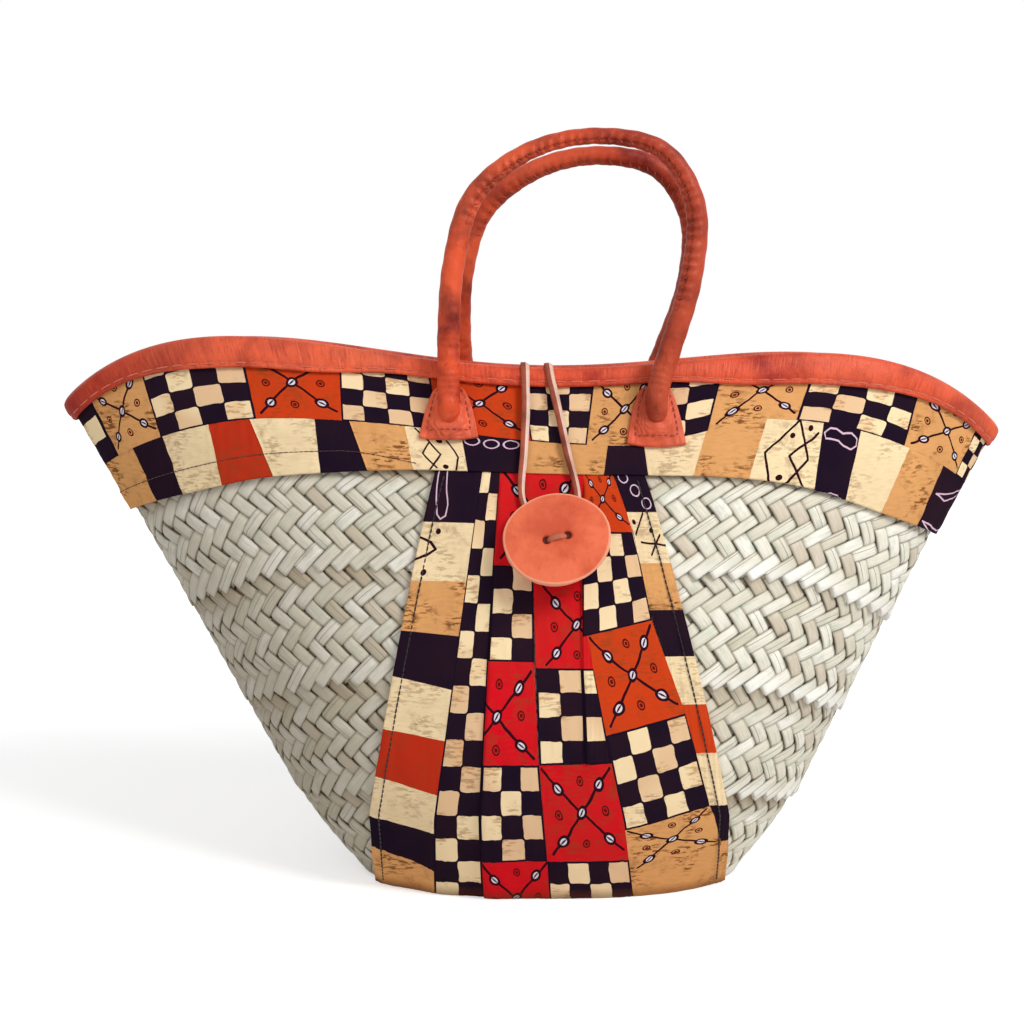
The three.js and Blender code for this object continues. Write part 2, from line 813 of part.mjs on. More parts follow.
const button = new THREE.Group();
button.position.copy(neckCentre());
button.rotation.set(Math.PI / 2 - wallElevation - buttonTiltDegrees * degree, 0, 0);
const spun = new THREE.Group();
spun.rotation.z = buttonTwistDegrees * degree;
const faceDisc = cut(discGeometry(faceLow, buttonFaceThickness, buttonDome), ...tieHoles());
const backingDisc = cut(discGeometry(backingLow, buttonBackingThickness, 0), ...tieHoles());
spun.add(named("button_face", faceDisc, paleLeather));
spun.add(named("button_backing", backingDisc, paleLeather));
spun.add(named("button_tie", tieGeometry(), thong));
button.add(named("button_neck", neckGeometry(), thong), spun);
basket.add(button);

const knot = named("button_knot", knotGeometry(), thong);
knot.applyMatrix4(squareToWall());
basket.add(knot);
basket.add(named("closure_loop", loopGeometry(), thong));

export default basket;
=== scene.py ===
"""Looks of a plaited palm-leaf market basket with leather rim and handles, and printed cloth trim.

Metres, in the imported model's frame: X to the right, the front faces -Y, Z up.
"""

import math
from functools import partialmethod

import bmesh
import bpy
import numpy as np
from mathutils import Matrix, Vector


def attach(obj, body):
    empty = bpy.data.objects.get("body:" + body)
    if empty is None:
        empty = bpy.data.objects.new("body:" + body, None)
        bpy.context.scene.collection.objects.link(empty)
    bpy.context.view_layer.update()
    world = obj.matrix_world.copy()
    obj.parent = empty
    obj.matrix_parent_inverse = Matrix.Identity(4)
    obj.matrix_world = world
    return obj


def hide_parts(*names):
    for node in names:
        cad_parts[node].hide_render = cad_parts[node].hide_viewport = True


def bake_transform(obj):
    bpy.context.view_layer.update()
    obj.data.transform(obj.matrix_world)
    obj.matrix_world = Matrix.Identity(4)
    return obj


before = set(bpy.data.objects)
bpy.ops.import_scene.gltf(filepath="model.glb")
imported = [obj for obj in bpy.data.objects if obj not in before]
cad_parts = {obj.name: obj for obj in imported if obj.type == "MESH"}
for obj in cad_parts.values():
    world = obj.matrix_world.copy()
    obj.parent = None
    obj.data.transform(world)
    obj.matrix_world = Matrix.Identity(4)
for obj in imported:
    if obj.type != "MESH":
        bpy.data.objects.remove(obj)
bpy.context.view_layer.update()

# The wall's sizes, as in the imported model. They are taken at its inner face.
WALL_THICKNESS = 0.005
MOUTH_HALF_LENGTH = 0.275
MOUTH_HALF_DEPTH = 0.040
BELLY_HALF_DEPTH = 0.096
FOOT_HALF_LENGTH = 0.113
FOOT_HALF_DEPTH = 0.066
SIDE_LINE_AT_FLOOR = 0.125
RIM_HEIGHT_CENTRE = 0.303
RIM_HUMP_RISE = 0.014
RIM_SKEW = 0.008
MOUTH_SHIFT = -0.011
BELLY_SHARE = 0.35
TUCK_SHARE = 0.22
HUMP_SHARE = 0.62
MOUTH_SLOPE_SHARE = 1.6
FOOT_OUTLINE_SHARE = 0.85
MOUTH_OUTLINE_SHARE = 1.08
SEAM_SHARES = (0, 0.2, 0.4, 0.6, 0.8, 1)
PLACE_STEPS = 8
FRONT = -1
BACK = 1

# The plait: a 2/2 herringbone of palm strands.
STRAND_WIDTH = 0.0086
COLUMN_SPACING = 0.0120
ROUND_CROSSINGS = 12
STRAND_LEAN = 0.12
PLAIT_MID_OUT = 0.0022
CRIMP = 0.0012
LEAF_THICKNESS = 0.0009
LEAF_CROWN = 0.00045
SEAM_PROUD = 0.0015
SEAM_RECESS = 0.0020
FOLD_STATION = -0.80
SEAM_FOLD = 0.0022
SEAM_RISE = 0.030
SEAM_DROP = 0.075
SEAM_LOWEST = -0.027
SEAM_PROUD_REACH = 0.10
SEAM_RECESS_REACH = 0.16
LEFT_SEAM_SHARE = 0.35
STATION_STEP = 0.25
STRAND_WIDTHS = (0.92, 1.05)
SECOND_WAY_NARROWER = 0.12
SECOND_WAY_FOLD = 0.35
STRAND_DRIFT = 0.035
STRAND_SWAY = 0.03
STRAND_TILT = 0.00022
TONE_MEAN = 0.55
TONE_SPREAD = 0.25
FIRST_WAY_KINDS = 0.8
LEAF_PHASES = 50
WAVE_SHARPNESS = 2.4
ROUND_SEED = 11
BASE_SEED = 7
BASE_EDGE_OUT = 0.002
SMALLEST_FACE = 2e-8
BASE_REACH = 0.15
BASE_HEIGHT = 0.0024

# Cloth.
CLOTH_OUT = 0.0067
BAND_HEIGHT_CENTRE = 0.056
BAND_HEIGHT_SIDES = 0.082
BAND_LEFT_DROP = 0.0045
BAND_LEFT_DROP_AT = -0.55
BAND_LEFT_DROP_REACH = 0.25
BAND_HEIGHT_TIPS = 0.064
BAND_TIP_SHARE = 0.72
BAND_TOP_MARGIN = 0.003
PANEL_TOP_WIDTH = 0.118
PANEL_FOOT_WIDTH = 0.202
PANEL_LEAN_AT_TOP = -0.007
PANEL_FLARE_SHARE = 0.9
PANEL_SPREAD_SHARE = 0.8
PANEL_FOOT_HEIGHT = 0.006
PLEAT_RISE = 0.0026
PLEAT_FADE = 0.012
HEM_INSET = 0.006
CLOTH_RIPPLE = 0.0002

# Leather.
BINDING_HEIGHT_CENTRE = 0.0086
BINDING_HEIGHT_SIDES = 0.0155
BINDING_TIP_LOSS = 0.42
BINDING_TIP_FROM = 0.66
BINDING_TIP_REACH = 0.32
BINDING_NARROW_SHARE = 0.25
BINDING_WIDE_SHARE = 0.52
BINDING_CROWN = 0.0034
BINDING_OUTER = 0.0094
BINDING_INNER = 0.0074
BINDING_INSIDE = -0.0026
PAD_OUT = 0.0092
PAD_HEIGHT = 0.027
PAD_NECK_WIDTH = 0.0145
PAD_EXTRA_DROP = 0.0036
PAD_FOOT_WIDTH = 0.033
PAD_TOP = RIM_HEIGHT_CENTRE - 0.011
HANDLE_HALF_SPAN = 0.059
HANDLE_RISE = 0.150
HANDLE_RADIUS = 0.0064
HANDLE_APEX_RADIUS = 0.0046
HANDLE_LEAN = math.radians(6)
BACK_HANDLE_SHIFT = 0.006
HANDLE_SHARES = (
    (-1, 0), (-1, 0.12), (-1, 0.26), (-0.95, 0.52), (-0.76, 0.77), (-0.24, 0.94), (0.41, 1),
    (1.06, 0.945), (1.37, 0.745), (1.34, 0.474), (1.13, 0.19), (1.05, 0.09), (1, 0),
)

# Button and loop.
BUTTON_X = 0.0017
BUTTON_HEIGHT_UP = RIM_HEIGHT_CENTRE - 0.096
BUTTON_WIDTH = 0.060
BUTTON_HEIGHT = 0.054
BUTTON_TILT = math.radians(12)
BUTTON_TWIST = math.radians(14)
NECK_LENGTH = 0.0062
NECK_RADIUS = 0.0032
LAYER_GAP = 0.0003
FACE_THICKNESS = 0.0032
BACKING_THICKNESS = 0.0026
TIE_SPACING = 0.012
TIE_RADIUS = 0.0016
PANEL_OUTER = 0.0082
LOOP_WIDTH = 0.005
LOOP_THICKNESS = 0.0018
LOOP_CLEARANCE = 0.0009
LOOP_RIM_X = -0.0088
LOOP_RIM_SPACING = 0.0135
LOOP_SPREAD_X = 0.0155
LOOP_SPREAD_SHIFT = -0.0035
LOOP_SPREAD_RISE = 0.026

# The camera that fits the photograph.
CAMERA_PLACE = (-0.023, -0.957, 0.325)
CAMERA_PITCH = math.radians(-6.29)
CAMERA_LENS = 55.2
SENSOR_WIDTH = 36


def make_camera():
    data = bpy.data.cameras.new("camera")
    data.lens = CAMERA_LENS
    data.sensor_fit = "HORIZONTAL"
    data.sensor_width = SENSOR_WIDTH
    camera = bpy.data.objects.new("camera", data)
    camera.location = CAMERA_PLACE
    camera.rotation_euler = (math.pi / 2 + CAMERA_PITCH, 0, 0)
    bpy.context.scene.collection.objects.link(camera)
    bpy.context.scene.camera = camera


make_camera()

# The wall as a formula, over arrays of plan angles and height shares.


def lerp(a, b, t):
    return a + (b - a) * t


def smooth(t):
    t = np.clip(t, 0, 1)
    return t * t * (3 - 2 * t)


def signed_power(value, exponent):
    return np.sign(value) * np.abs(value) ** exponent


def rim_height(across):
    hump = 1 - (1 - (across / HUMP_SHARE) ** 2) ** 2
    return RIM_HEIGHT_CENTRE + RIM_HUMP_RISE * hump - RIM_SKEW * across


def half_length(share):
    tuck = np.maximum(0, 1 - share / TUCK_SHARE) ** 2
    line = lerp(SIDE_LINE_AT_FLOOR, MOUTH_HALF_LENGTH, share)
    return line - (SIDE_LINE_AT_FLOOR - FOOT_HALF_LENGTH) * tuck


def half_depth(share):
    below = BELLY_HALF_DEPTH - (BELLY_HALF_DEPTH - FOOT_HALF_DEPTH) * (1 - share / BELLY_SHARE) ** 2
    rise = np.maximum(0, (share - BELLY_SHARE) / (1 - BELLY_SHARE))
    above = BELLY_HALF_DEPTH - (BELLY_HALF_DEPTH - MOUTH_HALF_DEPTH) * rise**MOUTH_SLOPE_SHARE
    return np.where(share < BELLY_SHARE, below, above)


def depth_exponent(share):
    return lerp(FOOT_OUTLINE_SHARE, MOUTH_OUTLINE_SHARE, share)


def inner_point(angle, share):
    exponent = depth_exponent(share)
    across = signed_power(np.cos(angle), np.minimum(1, exponent))
    x = MOUTH_SHIFT * share + half_length(share) * across
    y = half_depth(share) * signed_power(np.sin(angle), exponent)
    z = WALL_THICKNESS + share * (rim_height(across) - WALL_THICKNESS)
    return np.stack(np.broadcast_arrays(x, y, z), -1)


def wall_normal(angle, share):
    step = 1e-3
    along = inner_point(angle + step, share) - inner_point(angle - step, share)
    up = inner_point(angle, share + step) - inner_point(angle, share - step)
    normal = np.cross(along, up)
    return normal / np.linalg.norm(normal, axis=-1, keepdims=True)


def wall_point(angle, share, out):
    """Points set out from the wall's inner face, for arrays of plan angle, height share and distance."""
    angle, share, out = np.broadcast_arrays(angle, share, out)
    return inner_point(angle, share) + wall_normal(angle, share) * out[..., None]


def wall_place(side, x, height):
    """Plan angle and height share of the wall where it is at x and at a height, seen from one side."""
    x, height = np.broadcast_arrays(np.asarray(x, float), np.asarray(height, float))
    across = np.zeros_like(x)
    for _ in range(PLACE_STEPS):
        share = (height - WALL_THICKNESS) / (rim_height(across) - WALL_THICKNESS)
        across = np.clip((x - MOUTH_SHIFT * share) / half_length(share), -1, 1)
    exponent = np.minimum(1, depth_exponent(share))
    return side * np.arccos(signed_power(across, 1 / exponent)), share


def wall_at(side, x, height, out):
    angle, share = wall_place(side, x, height)
    return wall_point(angle, share, out)


def rim_above(angle):
    """Height of the rim over the floor's inner face at a plan angle."""
    across = signed_power(np.cos(angle), np.minimum(1, MOUTH_OUTLINE_SHARE))
    return rim_height(across) - WALL_THICKNESS


def share_from_rim(angle, above):
    return 1 + above / rim_above(angle)


def band_height(angle):
    across = np.abs(np.cos(angle))
    tip = np.maximum(0, (across - BAND_TIP_SHARE) / (1 - BAND_TIP_SHARE)) ** 2
    sides = lerp(BAND_HEIGHT_SIDES, BAND_HEIGHT_TIPS, tip)
    from_drop = (np.cos(angle) - BAND_LEFT_DROP_AT) / BAND_LEFT_DROP_REACH
    low = BAND_LEFT_DROP * np.exp(-(from_drop**2)) * smooth(-4 * np.sin(angle))
    return lerp(sides, BAND_HEIGHT_CENTRE, (1 - across**2) ** 2) + low


def binding_height(angle):
    across = np.abs(np.cos(angle))
    share = (across - BINDING_NARROW_SHARE) / (BINDING_WIDE_SHARE - BINDING_NARROW_SHARE)
    tips = 1 - BINDING_TIP_LOSS * smooth((across - BINDING_TIP_FROM) / BINDING_TIP_REACH)
    return lerp(BINDING_HEIGHT_CENTRE, BINDING_HEIGHT_SIDES * tips, smooth(share))


def unit(v):
    return v / np.linalg.norm(v, axis=-1, keepdims=True)


# Meshes from arrays.

STITCH_STATIONS = 7
STITCH_SIDES = 8
RING_STATIONS = 1441


def make_mesh(name, points, faces, uvs=None, materials=(), face_materials=None, flat=False):
    """An object from points (n, 3), quads or triangles (m, k), and UVs for each point or each corner."""
    mesh = bpy.data.meshes.new(name)
    points = np.asarray(points, np.float32).reshape(-1, 3)
    faces = np.asarray(faces, np.int32)
    count, sides = faces.shape
    mesh.vertices.add(len(points))
    mesh.vertices.foreach_set("co", points.ravel())
    mesh.loops.add(count * sides)
    mesh.loops.foreach_set("vertex_index", faces.ravel())
    mesh.polygons.add(count)
    mesh.polygons.foreach_set("loop_start", np.arange(0, count * sides, sides, dtype=np.int32))
    mesh.polygons.foreach_set("loop_total", np.full(count, sides, np.int32))
    for layer, values in (uvs or {}).items():
        values = np.asarray(values, np.float32)
        corners = values[faces.ravel()] if len(values) == len(points) else values
        mesh.uv_layers.new(name=layer).data.foreach_set("uv", corners.ravel())
    for material in materials:
        mesh.materials.append(material)
    if face_materials is not None:
        mesh.polygons.foreach_set("material_index", np.asarray(face_materials, np.int32))
    mesh.polygons.foreach_set("use_smooth", np.full(count, not flat, bool))
    mesh.update(calc_edges=True)
    mesh.validate()
    thing = bpy.data.objects.new(name, mesh)
    bpy.context.scene.collection.objects.link(thing)
    return thing


def grid_faces(rows, columns, wrap_rows=False, wrap_columns=False, first=0):
    """Quads of a grid of points that is stored row by row."""
    index = np.arange(rows * columns).reshape(rows, columns) + first
    if wrap_rows:
        index = np.concatenate([index, index[:1]])
    if wrap_columns:
        index = np.concatenate([index, index[:, :1]], axis=1)
    return np.stack([index[:-1, :-1], index[:-1, 1:], index[1:, 1:], index[1:, :-1]], -1).reshape(-1, 4)


def many_grids(grids, **options):
    """Faces of several like grids, stored one after another as (grids, rows, columns)."""
    count, rows, columns = grids
    one = grid_faces(rows, columns, **options)
    return (one[None] + (np.arange(count) * rows * columns)[:, None, None]).reshape(-1, 4)


def frames_along(line, first_normal):
    """Tangent, normal and side at each point of a line, carried along it without twist."""
    tangent = unit(np.gradient(line, axis=0))
    normal = np.asarray(first_normal, float)
    normals = []
    for t in tangent:
        normal = normal - t * (normal @ t)
        normal = normal / np.linalg.norm(normal)
        normals.append(normal)
    normals = np.array(normals)
    return tangent, normals, np.cross(tangent, normals)


def even_line(line, count):
    """The same line through count points at even distances."""
    steps = np.linalg.norm(np.diff(line, axis=0), axis=1)
    along = np.concatenate([[0], np.cumsum(steps)])
    places = np.linspace(0, along[-1], count)
    return np.stack([np.interp(places, along, line[:, k]) for k in range(3)], -1)


def spline(points, per_span=12):
    """A centripetal Catmull-Rom curve through the points."""
    points = np.asarray(points, float)
    points = np.concatenate([[2 * points[0] - points[1]], points, [2 * points[-1] - points[-2]]])
    line = []
    for a, b, c, d in zip(points, points[1:], points[2:], points[3:]):
        ta = 0.0
        tb = ta + math.sqrt(np.linalg.norm(b - a))
        tc = tb + math.sqrt(np.linalg.norm(c - b))
        td = tc + math.sqrt(np.linalg.norm(d - c))
        for t in np.linspace(tb, tc, per_span, endpoint=False):
            ab = lerp(a, b, (t - ta) / (tb - ta))
            bc = lerp(b, c, (t - tb) / (tc - tb))
            cd = lerp(c, d, (t - tc) / (td - tc))
            abc = lerp(ab, bc, (t - ta) / (tc - ta))
            bcd = lerp(bc, cd, (t - tb) / (td - tb))
            line.append(lerp(abc, bcd, (t - tb) / (tc - tb)))
    line.append(points[-2])
    return np.array(line)


def sweep(line, first_normal, section):
    """Points (stations, sides, 3) of a section carried along a line. section(i) gives (side, out)."""
    _, normals, sides = frames_along(line, first_normal)
    rings = []
    for i, centre in enumerate(line):
        ring = np.asarray(section(i))
        rings.append(centre + sides[i] * ring[:, :1] + normals[i] * ring[:, 1:2])
    return np.array(rings)


def closed_sweep_mesh(name, rings, material):
    """A tube mesh from rings, closed at both ends by a point."""
    stations, sides, _ = rings.shape
    ends = np.stack([rings[0].mean(axis=0), rings[-1].mean(axis=0)])
    points = np.concatenate([rings.reshape(-1, 3), ends])
    faces = grid_faces(stations, sides, wrap_columns=True)
    fan = [(i, stations * sides, (i + 1) % sides) for i in range(sides)]
    last = (stations - 1) * sides
    fan += [(last + (i + 1) % sides, stations * sides + 1, last + i) for i in range(sides)]
    along = np.repeat(np.linspace(0, 1, stations), sides)
    around = np.tile(np.linspace(0, 1, sides), stations)
    uv = np.concatenate([np.stack([along, around], -1), [[0, 0.5], [1, 0.5]]])
    thing = make_mesh(name, points, faces, {"skin": uv}, [material])
    add_triangles(thing, fan)
    return thing


def add_triangles(thing, triangles):
    """Adds triangles between points that the object already has."""
    bm = bmesh.new()
    bm.from_mesh(thing.data)
    bm.verts.ensure_lookup_table()
    for triangle in triangles:
        face = bm.faces.new([bm.verts[i] for i in triangle])
        face.smooth = True
    bmesh.ops.recalc_face_normals(bm, faces=bm.faces)
    bm.to_mesh(thing.data)
    bm.free()


def stitches_mesh(name, starts, ends, normals, width, height, material, arch=0.0):
    """Short raised threads from each start to each end, flat-oval in section, thinner at both ends."""
    turn = np.linspace(0, 2 * math.pi, STITCH_SIDES, endpoint=False)
    t = np.linspace(0, 1, STITCH_STATIONS)
    taper = np.sqrt(np.clip(1 - (2 * t - 1) ** 4, 0.02, 1))
    side = np.cross(unit(ends - starts), normals)
    centre = starts[:, None] + (ends - starts)[:, None] * t[None, :, None]
    centre = centre + normals[:, None] * (arch * np.sin(math.pi * t))[None, :, None]
    across = side[:, None, None] * np.cos(turn)[None, None, :, None] * width / 2
    out = normals[:, None, None] * np.sin(turn)[None, None, :, None] * height / 2
    points = centre[:, :, None] + (across + out) * taper[None, :, None, None]
    shape = points.shape[:3]
    uv = np.stack([np.broadcast_to(t[:, None], shape), np.broadcast_to(turn / (2 * math.pi), shape)], -1)
    faces = many_grids(shape, wrap_columns=True)
    return make_mesh(name, points, faces, {"skin": uv.reshape(-1, 2)}, [material])


# Materials. The mix node has one set of sockets for each type of value; these are its colour ones.

MIX_FACTOR = 0
MIX_LOW = 6
MIX_HIGH = 7
MIX_RESULT = 2


def connect(tree, value, slot):
    """Links a field to a node's input, or sets the input to a plain value."""
    if isinstance(value, Field):
        tree.links.new(value.socket, slot)
    else:
        slot.default_value = value


def node(tree, kind, values=None, output=0, **settings):
    """One output of a new shader node. values holds its inputs by name or number."""
    made = tree.nodes.new(f"ShaderNode{kind}")
    for name, value in settings.items():
        setattr(made, name, value)
    for slot, value in (values or {}).items():
        connect(tree, value, made.inputs[slot])
    return Field(tree, made.outputs[output])


class Field:
    """One value that varies over a surface, made by shader nodes."""

    def __init__(self, tree, socket):
        self.tree = tree
        self.socket = socket

    def math(self, operation, *others):
        return node(self.tree, "Math", dict(enumerate((self, *others))), operation=operation)

    __add__ = partialmethod(math, "ADD")
    __sub__ = partialmethod(math, "SUBTRACT")
    __mul__ = partialmethod(math, "MULTIPLY")
    __truediv__ = partialmethod(math, "DIVIDE")
    below = partialmethod(math, "LESS_THAN")
    magnitude = partialmethod(math, "ABSOLUTE")
    floor = partialmethod(math, "FLOOR")
    fraction = partialmethod(math, "FRACT")
    sine = partialmethod(math, "SINE")
    root = partialmethod(math, "SQRT")
    least = partialmethod(math, "MINIMUM")
    most = partialmethod(math, "MAXIMUM")
    modulo = partialmethod(math, "FLOORED_MODULO")

    def between(self, low, high):
        """0 below low, 1 above high, and even between them."""
        values = {"Value": self, "From Min": low, "From Max": high}
        return node(self.tree, "MapRange", values, "Result", clamp=True)


def colour(red, green, blue):
    """A colour given in sRGB steps of 0 to 255, as the shader's linear values."""
    def linear(step):
        value = step / 255
        return value / 12.92 if value <= 0.04045 else ((value + 0.055) / 1.055) ** 2.4

    return (linear(red), linear(green), linear(blue), 1)


class Paint:
    """A material in the making, with short ways to add nodes."""

    def __init__(self, name, roughness, specular=0.5, sheen=0.0):
        self.material = bpy.data.materials.new(name)
        self.material.use_nodes = True
        self.tree = self.material.node_tree
        self.shader = self.tree.nodes["Principled BSDF"]
        self.shader.inputs["Roughness"].default_value = roughness
        self.shader.inputs["Specular IOR Level"].default_value = specular
        self.shader.inputs["Sheen Weight"].default_value = sheen

    def split(self, field):
        made = self.tree.nodes.new("ShaderNodeSeparateXYZ")
        connect(self.tree, field, made.inputs[0])
        return tuple(Field(self.tree, output) for output in made.outputs)

    def uv(self, layer):
        return self.split(node(self.tree, "UVMap", uv_map=layer))

    def place(self):
        return self.split(node(self.tree, "TexCoord", output="Object"))

    def noise(self, x, y, z=0.0, scale=1.0, detail=2.0, roughness=0.5):
        place = node(self.tree, "CombineXYZ", {0: x, 1: y, 2: z})
        values = {"Vector": place, "Scale": scale, "Detail": detail, "Roughness": roughness}
        return node(self.tree, "TexNoise", values, "Fac")

    def cells(self, x, y, z, scale):
        place = node(self.tree, "CombineXYZ", {0: x, 1: y, 2: z})
        return node(self.tree, "TexVoronoi", {"Vector": place, "Scale": scale}, "Distance")

    def mix(self, factor, low, high):
        values = {MIX_FACTOR: factor, MIX_LOW: low, MIX_HIGH: high}
        return node(self.tree, "Mix", values, MIX_RESULT, data_type="RGBA")

    def layered(self, base, layers):
        """The base colour with other colours over it, each mixed in by its share."""
        for share, tint in layers:
            base = self.mix(share, base, tint)
        connect(self.tree, base, self.shader.inputs["Base Color"])

    def roughness(self, value):
        connect(self.tree, value, self.shader.inputs["Roughness"])

    def bump(self, height, distance, strength):
        values = {"Height": height, "Distance": distance, "Strength": strength}
        connect(self.tree, node(self.tree, "Bump", values, "Normal"), self.shader.inputs["Normal"])


def palm_material():
    """Dried palm leaf: grey-green straw, fibres along each strand and some brown leaves. Painted shade
    darkens the strands' edges, their dips under crossings, the top of each round and the left side,
    and a painted highlight lightens each round's lip.
    """
    paint = Paint("palm_leaf", roughness=0.5, sheen=0.1)
    along, across, _ = paint.uv("leaf")
    tone, kind, _ = paint.uv("strand")
    rise, level, _ = paint.uv("relief")
    x, y, z = paint.place()
    leaf = kind * 37.0
    fibre = paint.noise(along * 0.55, across * 16.0, leaf, detail=3.0, roughness=0.6)
    blotch = paint.noise(along * 0.9, across * 1.4, leaf + 9.0)
    # Painted shade along each strand's edges.
    edge = (across - 0.5).magnitude().between(0.38, 0.5)
    # A patchy share, which breaks up the painted shade under each round's lip.
    patchy = paint.noise(x, y, z, scale=8.0, detail=1.0).between(0.35, 0.6) * 0.6 + 0.15
    # Painted highlight on the lowest row of each round, its lip, stronger towards the right.
    lip_highlight = level.between(0.14, 0.02) * (x.between(-0.10, 0.02) * 0.36 + 0.14)
    # Painted shade over the left side, deepest at the lower left.
    left = x.between(0.02, -0.24) * 0.16 + x.between(0.0, -0.16) * z.between(0.28, 0.05) * 0.62
    slit = (across - (kind * 0.5 + 0.2)).magnitude().below(0.022) * kind.modulo(0.2).below(0.06)
    paint.layered(colour(216, 207, 182), (
        (tone, colour(255, 251, 238)),
        (blotch.between(0.46, 0.72) * 0.7, colour(208, 214, 194)),
        (kind.between(0.80, 0.86) * 0.7, colour(204, 186, 162)),
        (fibre.between(0.52, 0.78) * 0.6, colour(150, 138, 108)),
        (fibre.between(0.45, 0.25) * 0.5, colour(252, 250, 240)),
        (edge * 0.5, colour(112, 100, 70)),
        # Painted shade where a strand dives under the crossing ones.
        (rise.between(0.5, -0.5) * 0.7, colour(84, 74, 52)),
        # Painted shade at the top of each round, under the lip of the round above.
        (level.between(0.72, 0.93) * patchy, colour(150, 126, 92)),
        (lip_highlight, colour(252, 250, 244)),
        (left, colour(140, 122, 92)),
        (slit * 0.75, colour(104, 92, 66)),
    ))
    paint.roughness(fibre.between(0.2, 0.8) * 0.25 + 0.36)
    paint.bump(fibre * 0.6 + slit * -0.8 + blotch * 0.6, 0.0005, 0.6)
    return paint.material


def leather_material(name, base, deep, pale, roughness=0.45, drawn=False, right_shade=0.0, pierced=False):
    """Vegetable-tanned leather: mottled dye, pebbled grain, fine creases and paler worn places.

    Leather drawn round an edge has upright creases too, painted darker in their grooves as painted shade
    and paler on their ridges as painted highlight. Painted shade also darkens it towards the right by
    the given share, and at the far left. Pierced leather has holes painted dark as shade and a pale cut
    rim.
    """
    base, deep, pale = colour(*base), colour(*deep), colour(*pale)
    paint = Paint(name, roughness, specular=0.25)
    x, y, z = paint.place()
    mottle = paint.noise(x, y, z, scale=38.0, detail=4.0, roughness=0.6)
    broad = paint.noise(x, y, z, scale=9.0)
    crease = paint.noise(x * 3.0, y * 3.0, z, scale=110.0, detail=3.0, roughness=0.65)
    layers = [
        (mottle.between(0.42, 0.66), deep),
        # Painted shade towards the right, by the given share.
        (x.between(-0.07, 0.07) * right_shade, deep),
        # Painted shade at the far left end, where only the rim reaches.
        (x.between(-0.17, -0.27) * 0.7, deep),
        (broad.between(0.45, 0.7) * 0.35, pale),
        (crease.between(0.60, 0.74) * 0.55, deep),
    ]
    height = paint.cells(x, y, z, scale=900.0) * 0.35 + crease * 0.9 + mottle * 0.5
    if drawn:
        round_it, up, _ = paint.uv("strip")
        upright = paint.noise(round_it * 190.0, up * 90.0, detail=3.0, roughness=0.6)
        # Painted shade in the grooves of the upright creases and painted highlight on their ridges.
        layers += [(upright.between(0.56, 0.68) * 0.5, deep), (upright.between(0.42, 0.30) * 0.35, pale)]
        height = height + upright * -1.4
    if pierced:
        rim, hole, _ = paint.uv("cut")
        layers.append((rim.between(0.0016, 0.0006) * 0.6, CUT_RIM))
        # The holes are painted dark, as shade.
        layers.append((hole.between(0.0026, 0.0020) * 0.92, HOLE_SHADE))
    paint.layered(base, layers)
    paint.roughness(mottle * 0.25 + (roughness - 0.1))
    paint.bump(height, 0.0006, 0.5)
    return paint.material


def thread_material(name, base, shade):
    """Twisted thread."""
    paint = Paint(name, roughness=0.7, specular=0.3, sheen=0.2)
    along, around, _ = paint.uv("skin")
    ply = (along * 60.0 + around * 12.5).sine()
    paint.layered(colour(*shade), [(ply.between(-1, 1), colour(*base))])
    paint.bump(ply, 0.0002, 0.6)
    return paint.material


CUT_RIM = colour(250, 190, 156)
# Painted shade inside the button's holes.
HOLE_SHADE = colour(66, 16, 10)
PALM = palm_material()
# A leather's colours are its own dye, a deeper one and the worn one. The deeper one also serves for
# painted shade, and the worn one for painted highlight on the rim's creases.
RIM_LEATHER = leather_material(
    "rim_leather", (236, 88, 50), (160, 36, 20), (246, 128, 88), drawn=True, right_shade=0.2
)
HANDLE_LEATHER = leather_material(
    "handle_leather", (230, 84, 44), (118, 22, 10), (244, 126, 84), right_shade=0.6
)
PAD_LEATHER = leather_material("pad_leather", (234, 98, 62), (160, 44, 26), (246, 142, 104), right_shade=0.35)
BUTTON_LEATHER = leather_material(
    "button_leather", (236, 112, 74), (206, 82, 50), (246, 144, 106), roughness=0.6, pierced=True
)
THONG = leather_material("thong_leather", (172, 88, 62), (112, 46, 30), (206, 140, 114), roughness=0.6)
THONG_EDGE = leather_material(
    "thong_edge", (238, 206, 190), (204, 160, 140), (248, 226, 214), roughness=0.7
)
TIE_LEATHER = leather_material(
    "tie_leather", (238, 150, 118), (176, 92, 66), (248, 186, 160), roughness=0.6
)
RIM_THREAD = thread_material("rim_thread", (244, 138, 108), (206, 84, 60))
PAD_THREAD = thread_material("pad_thread", (206, 84, 58), (150, 48, 32))
# Painted shade along the band's hem fold, made as a dark thread.
TUCK_SHADE_LINE = thread_material("tuck_shade_line", (96, 60, 42), (60, 34, 26))
BLACK_THREAD = thread_material("black_thread", (44, 30, 34), (20, 14, 18))

# The plaited body.


def shaped_wave(x):
    """1 while a strand lies over two others, -1 while it lies under two, with quick crossings."""
    return np.tanh(WAVE_SHARPNESS * np.sin(math.pi / 2 * x)) / math.tanh(WAVE_SHARPNESS)


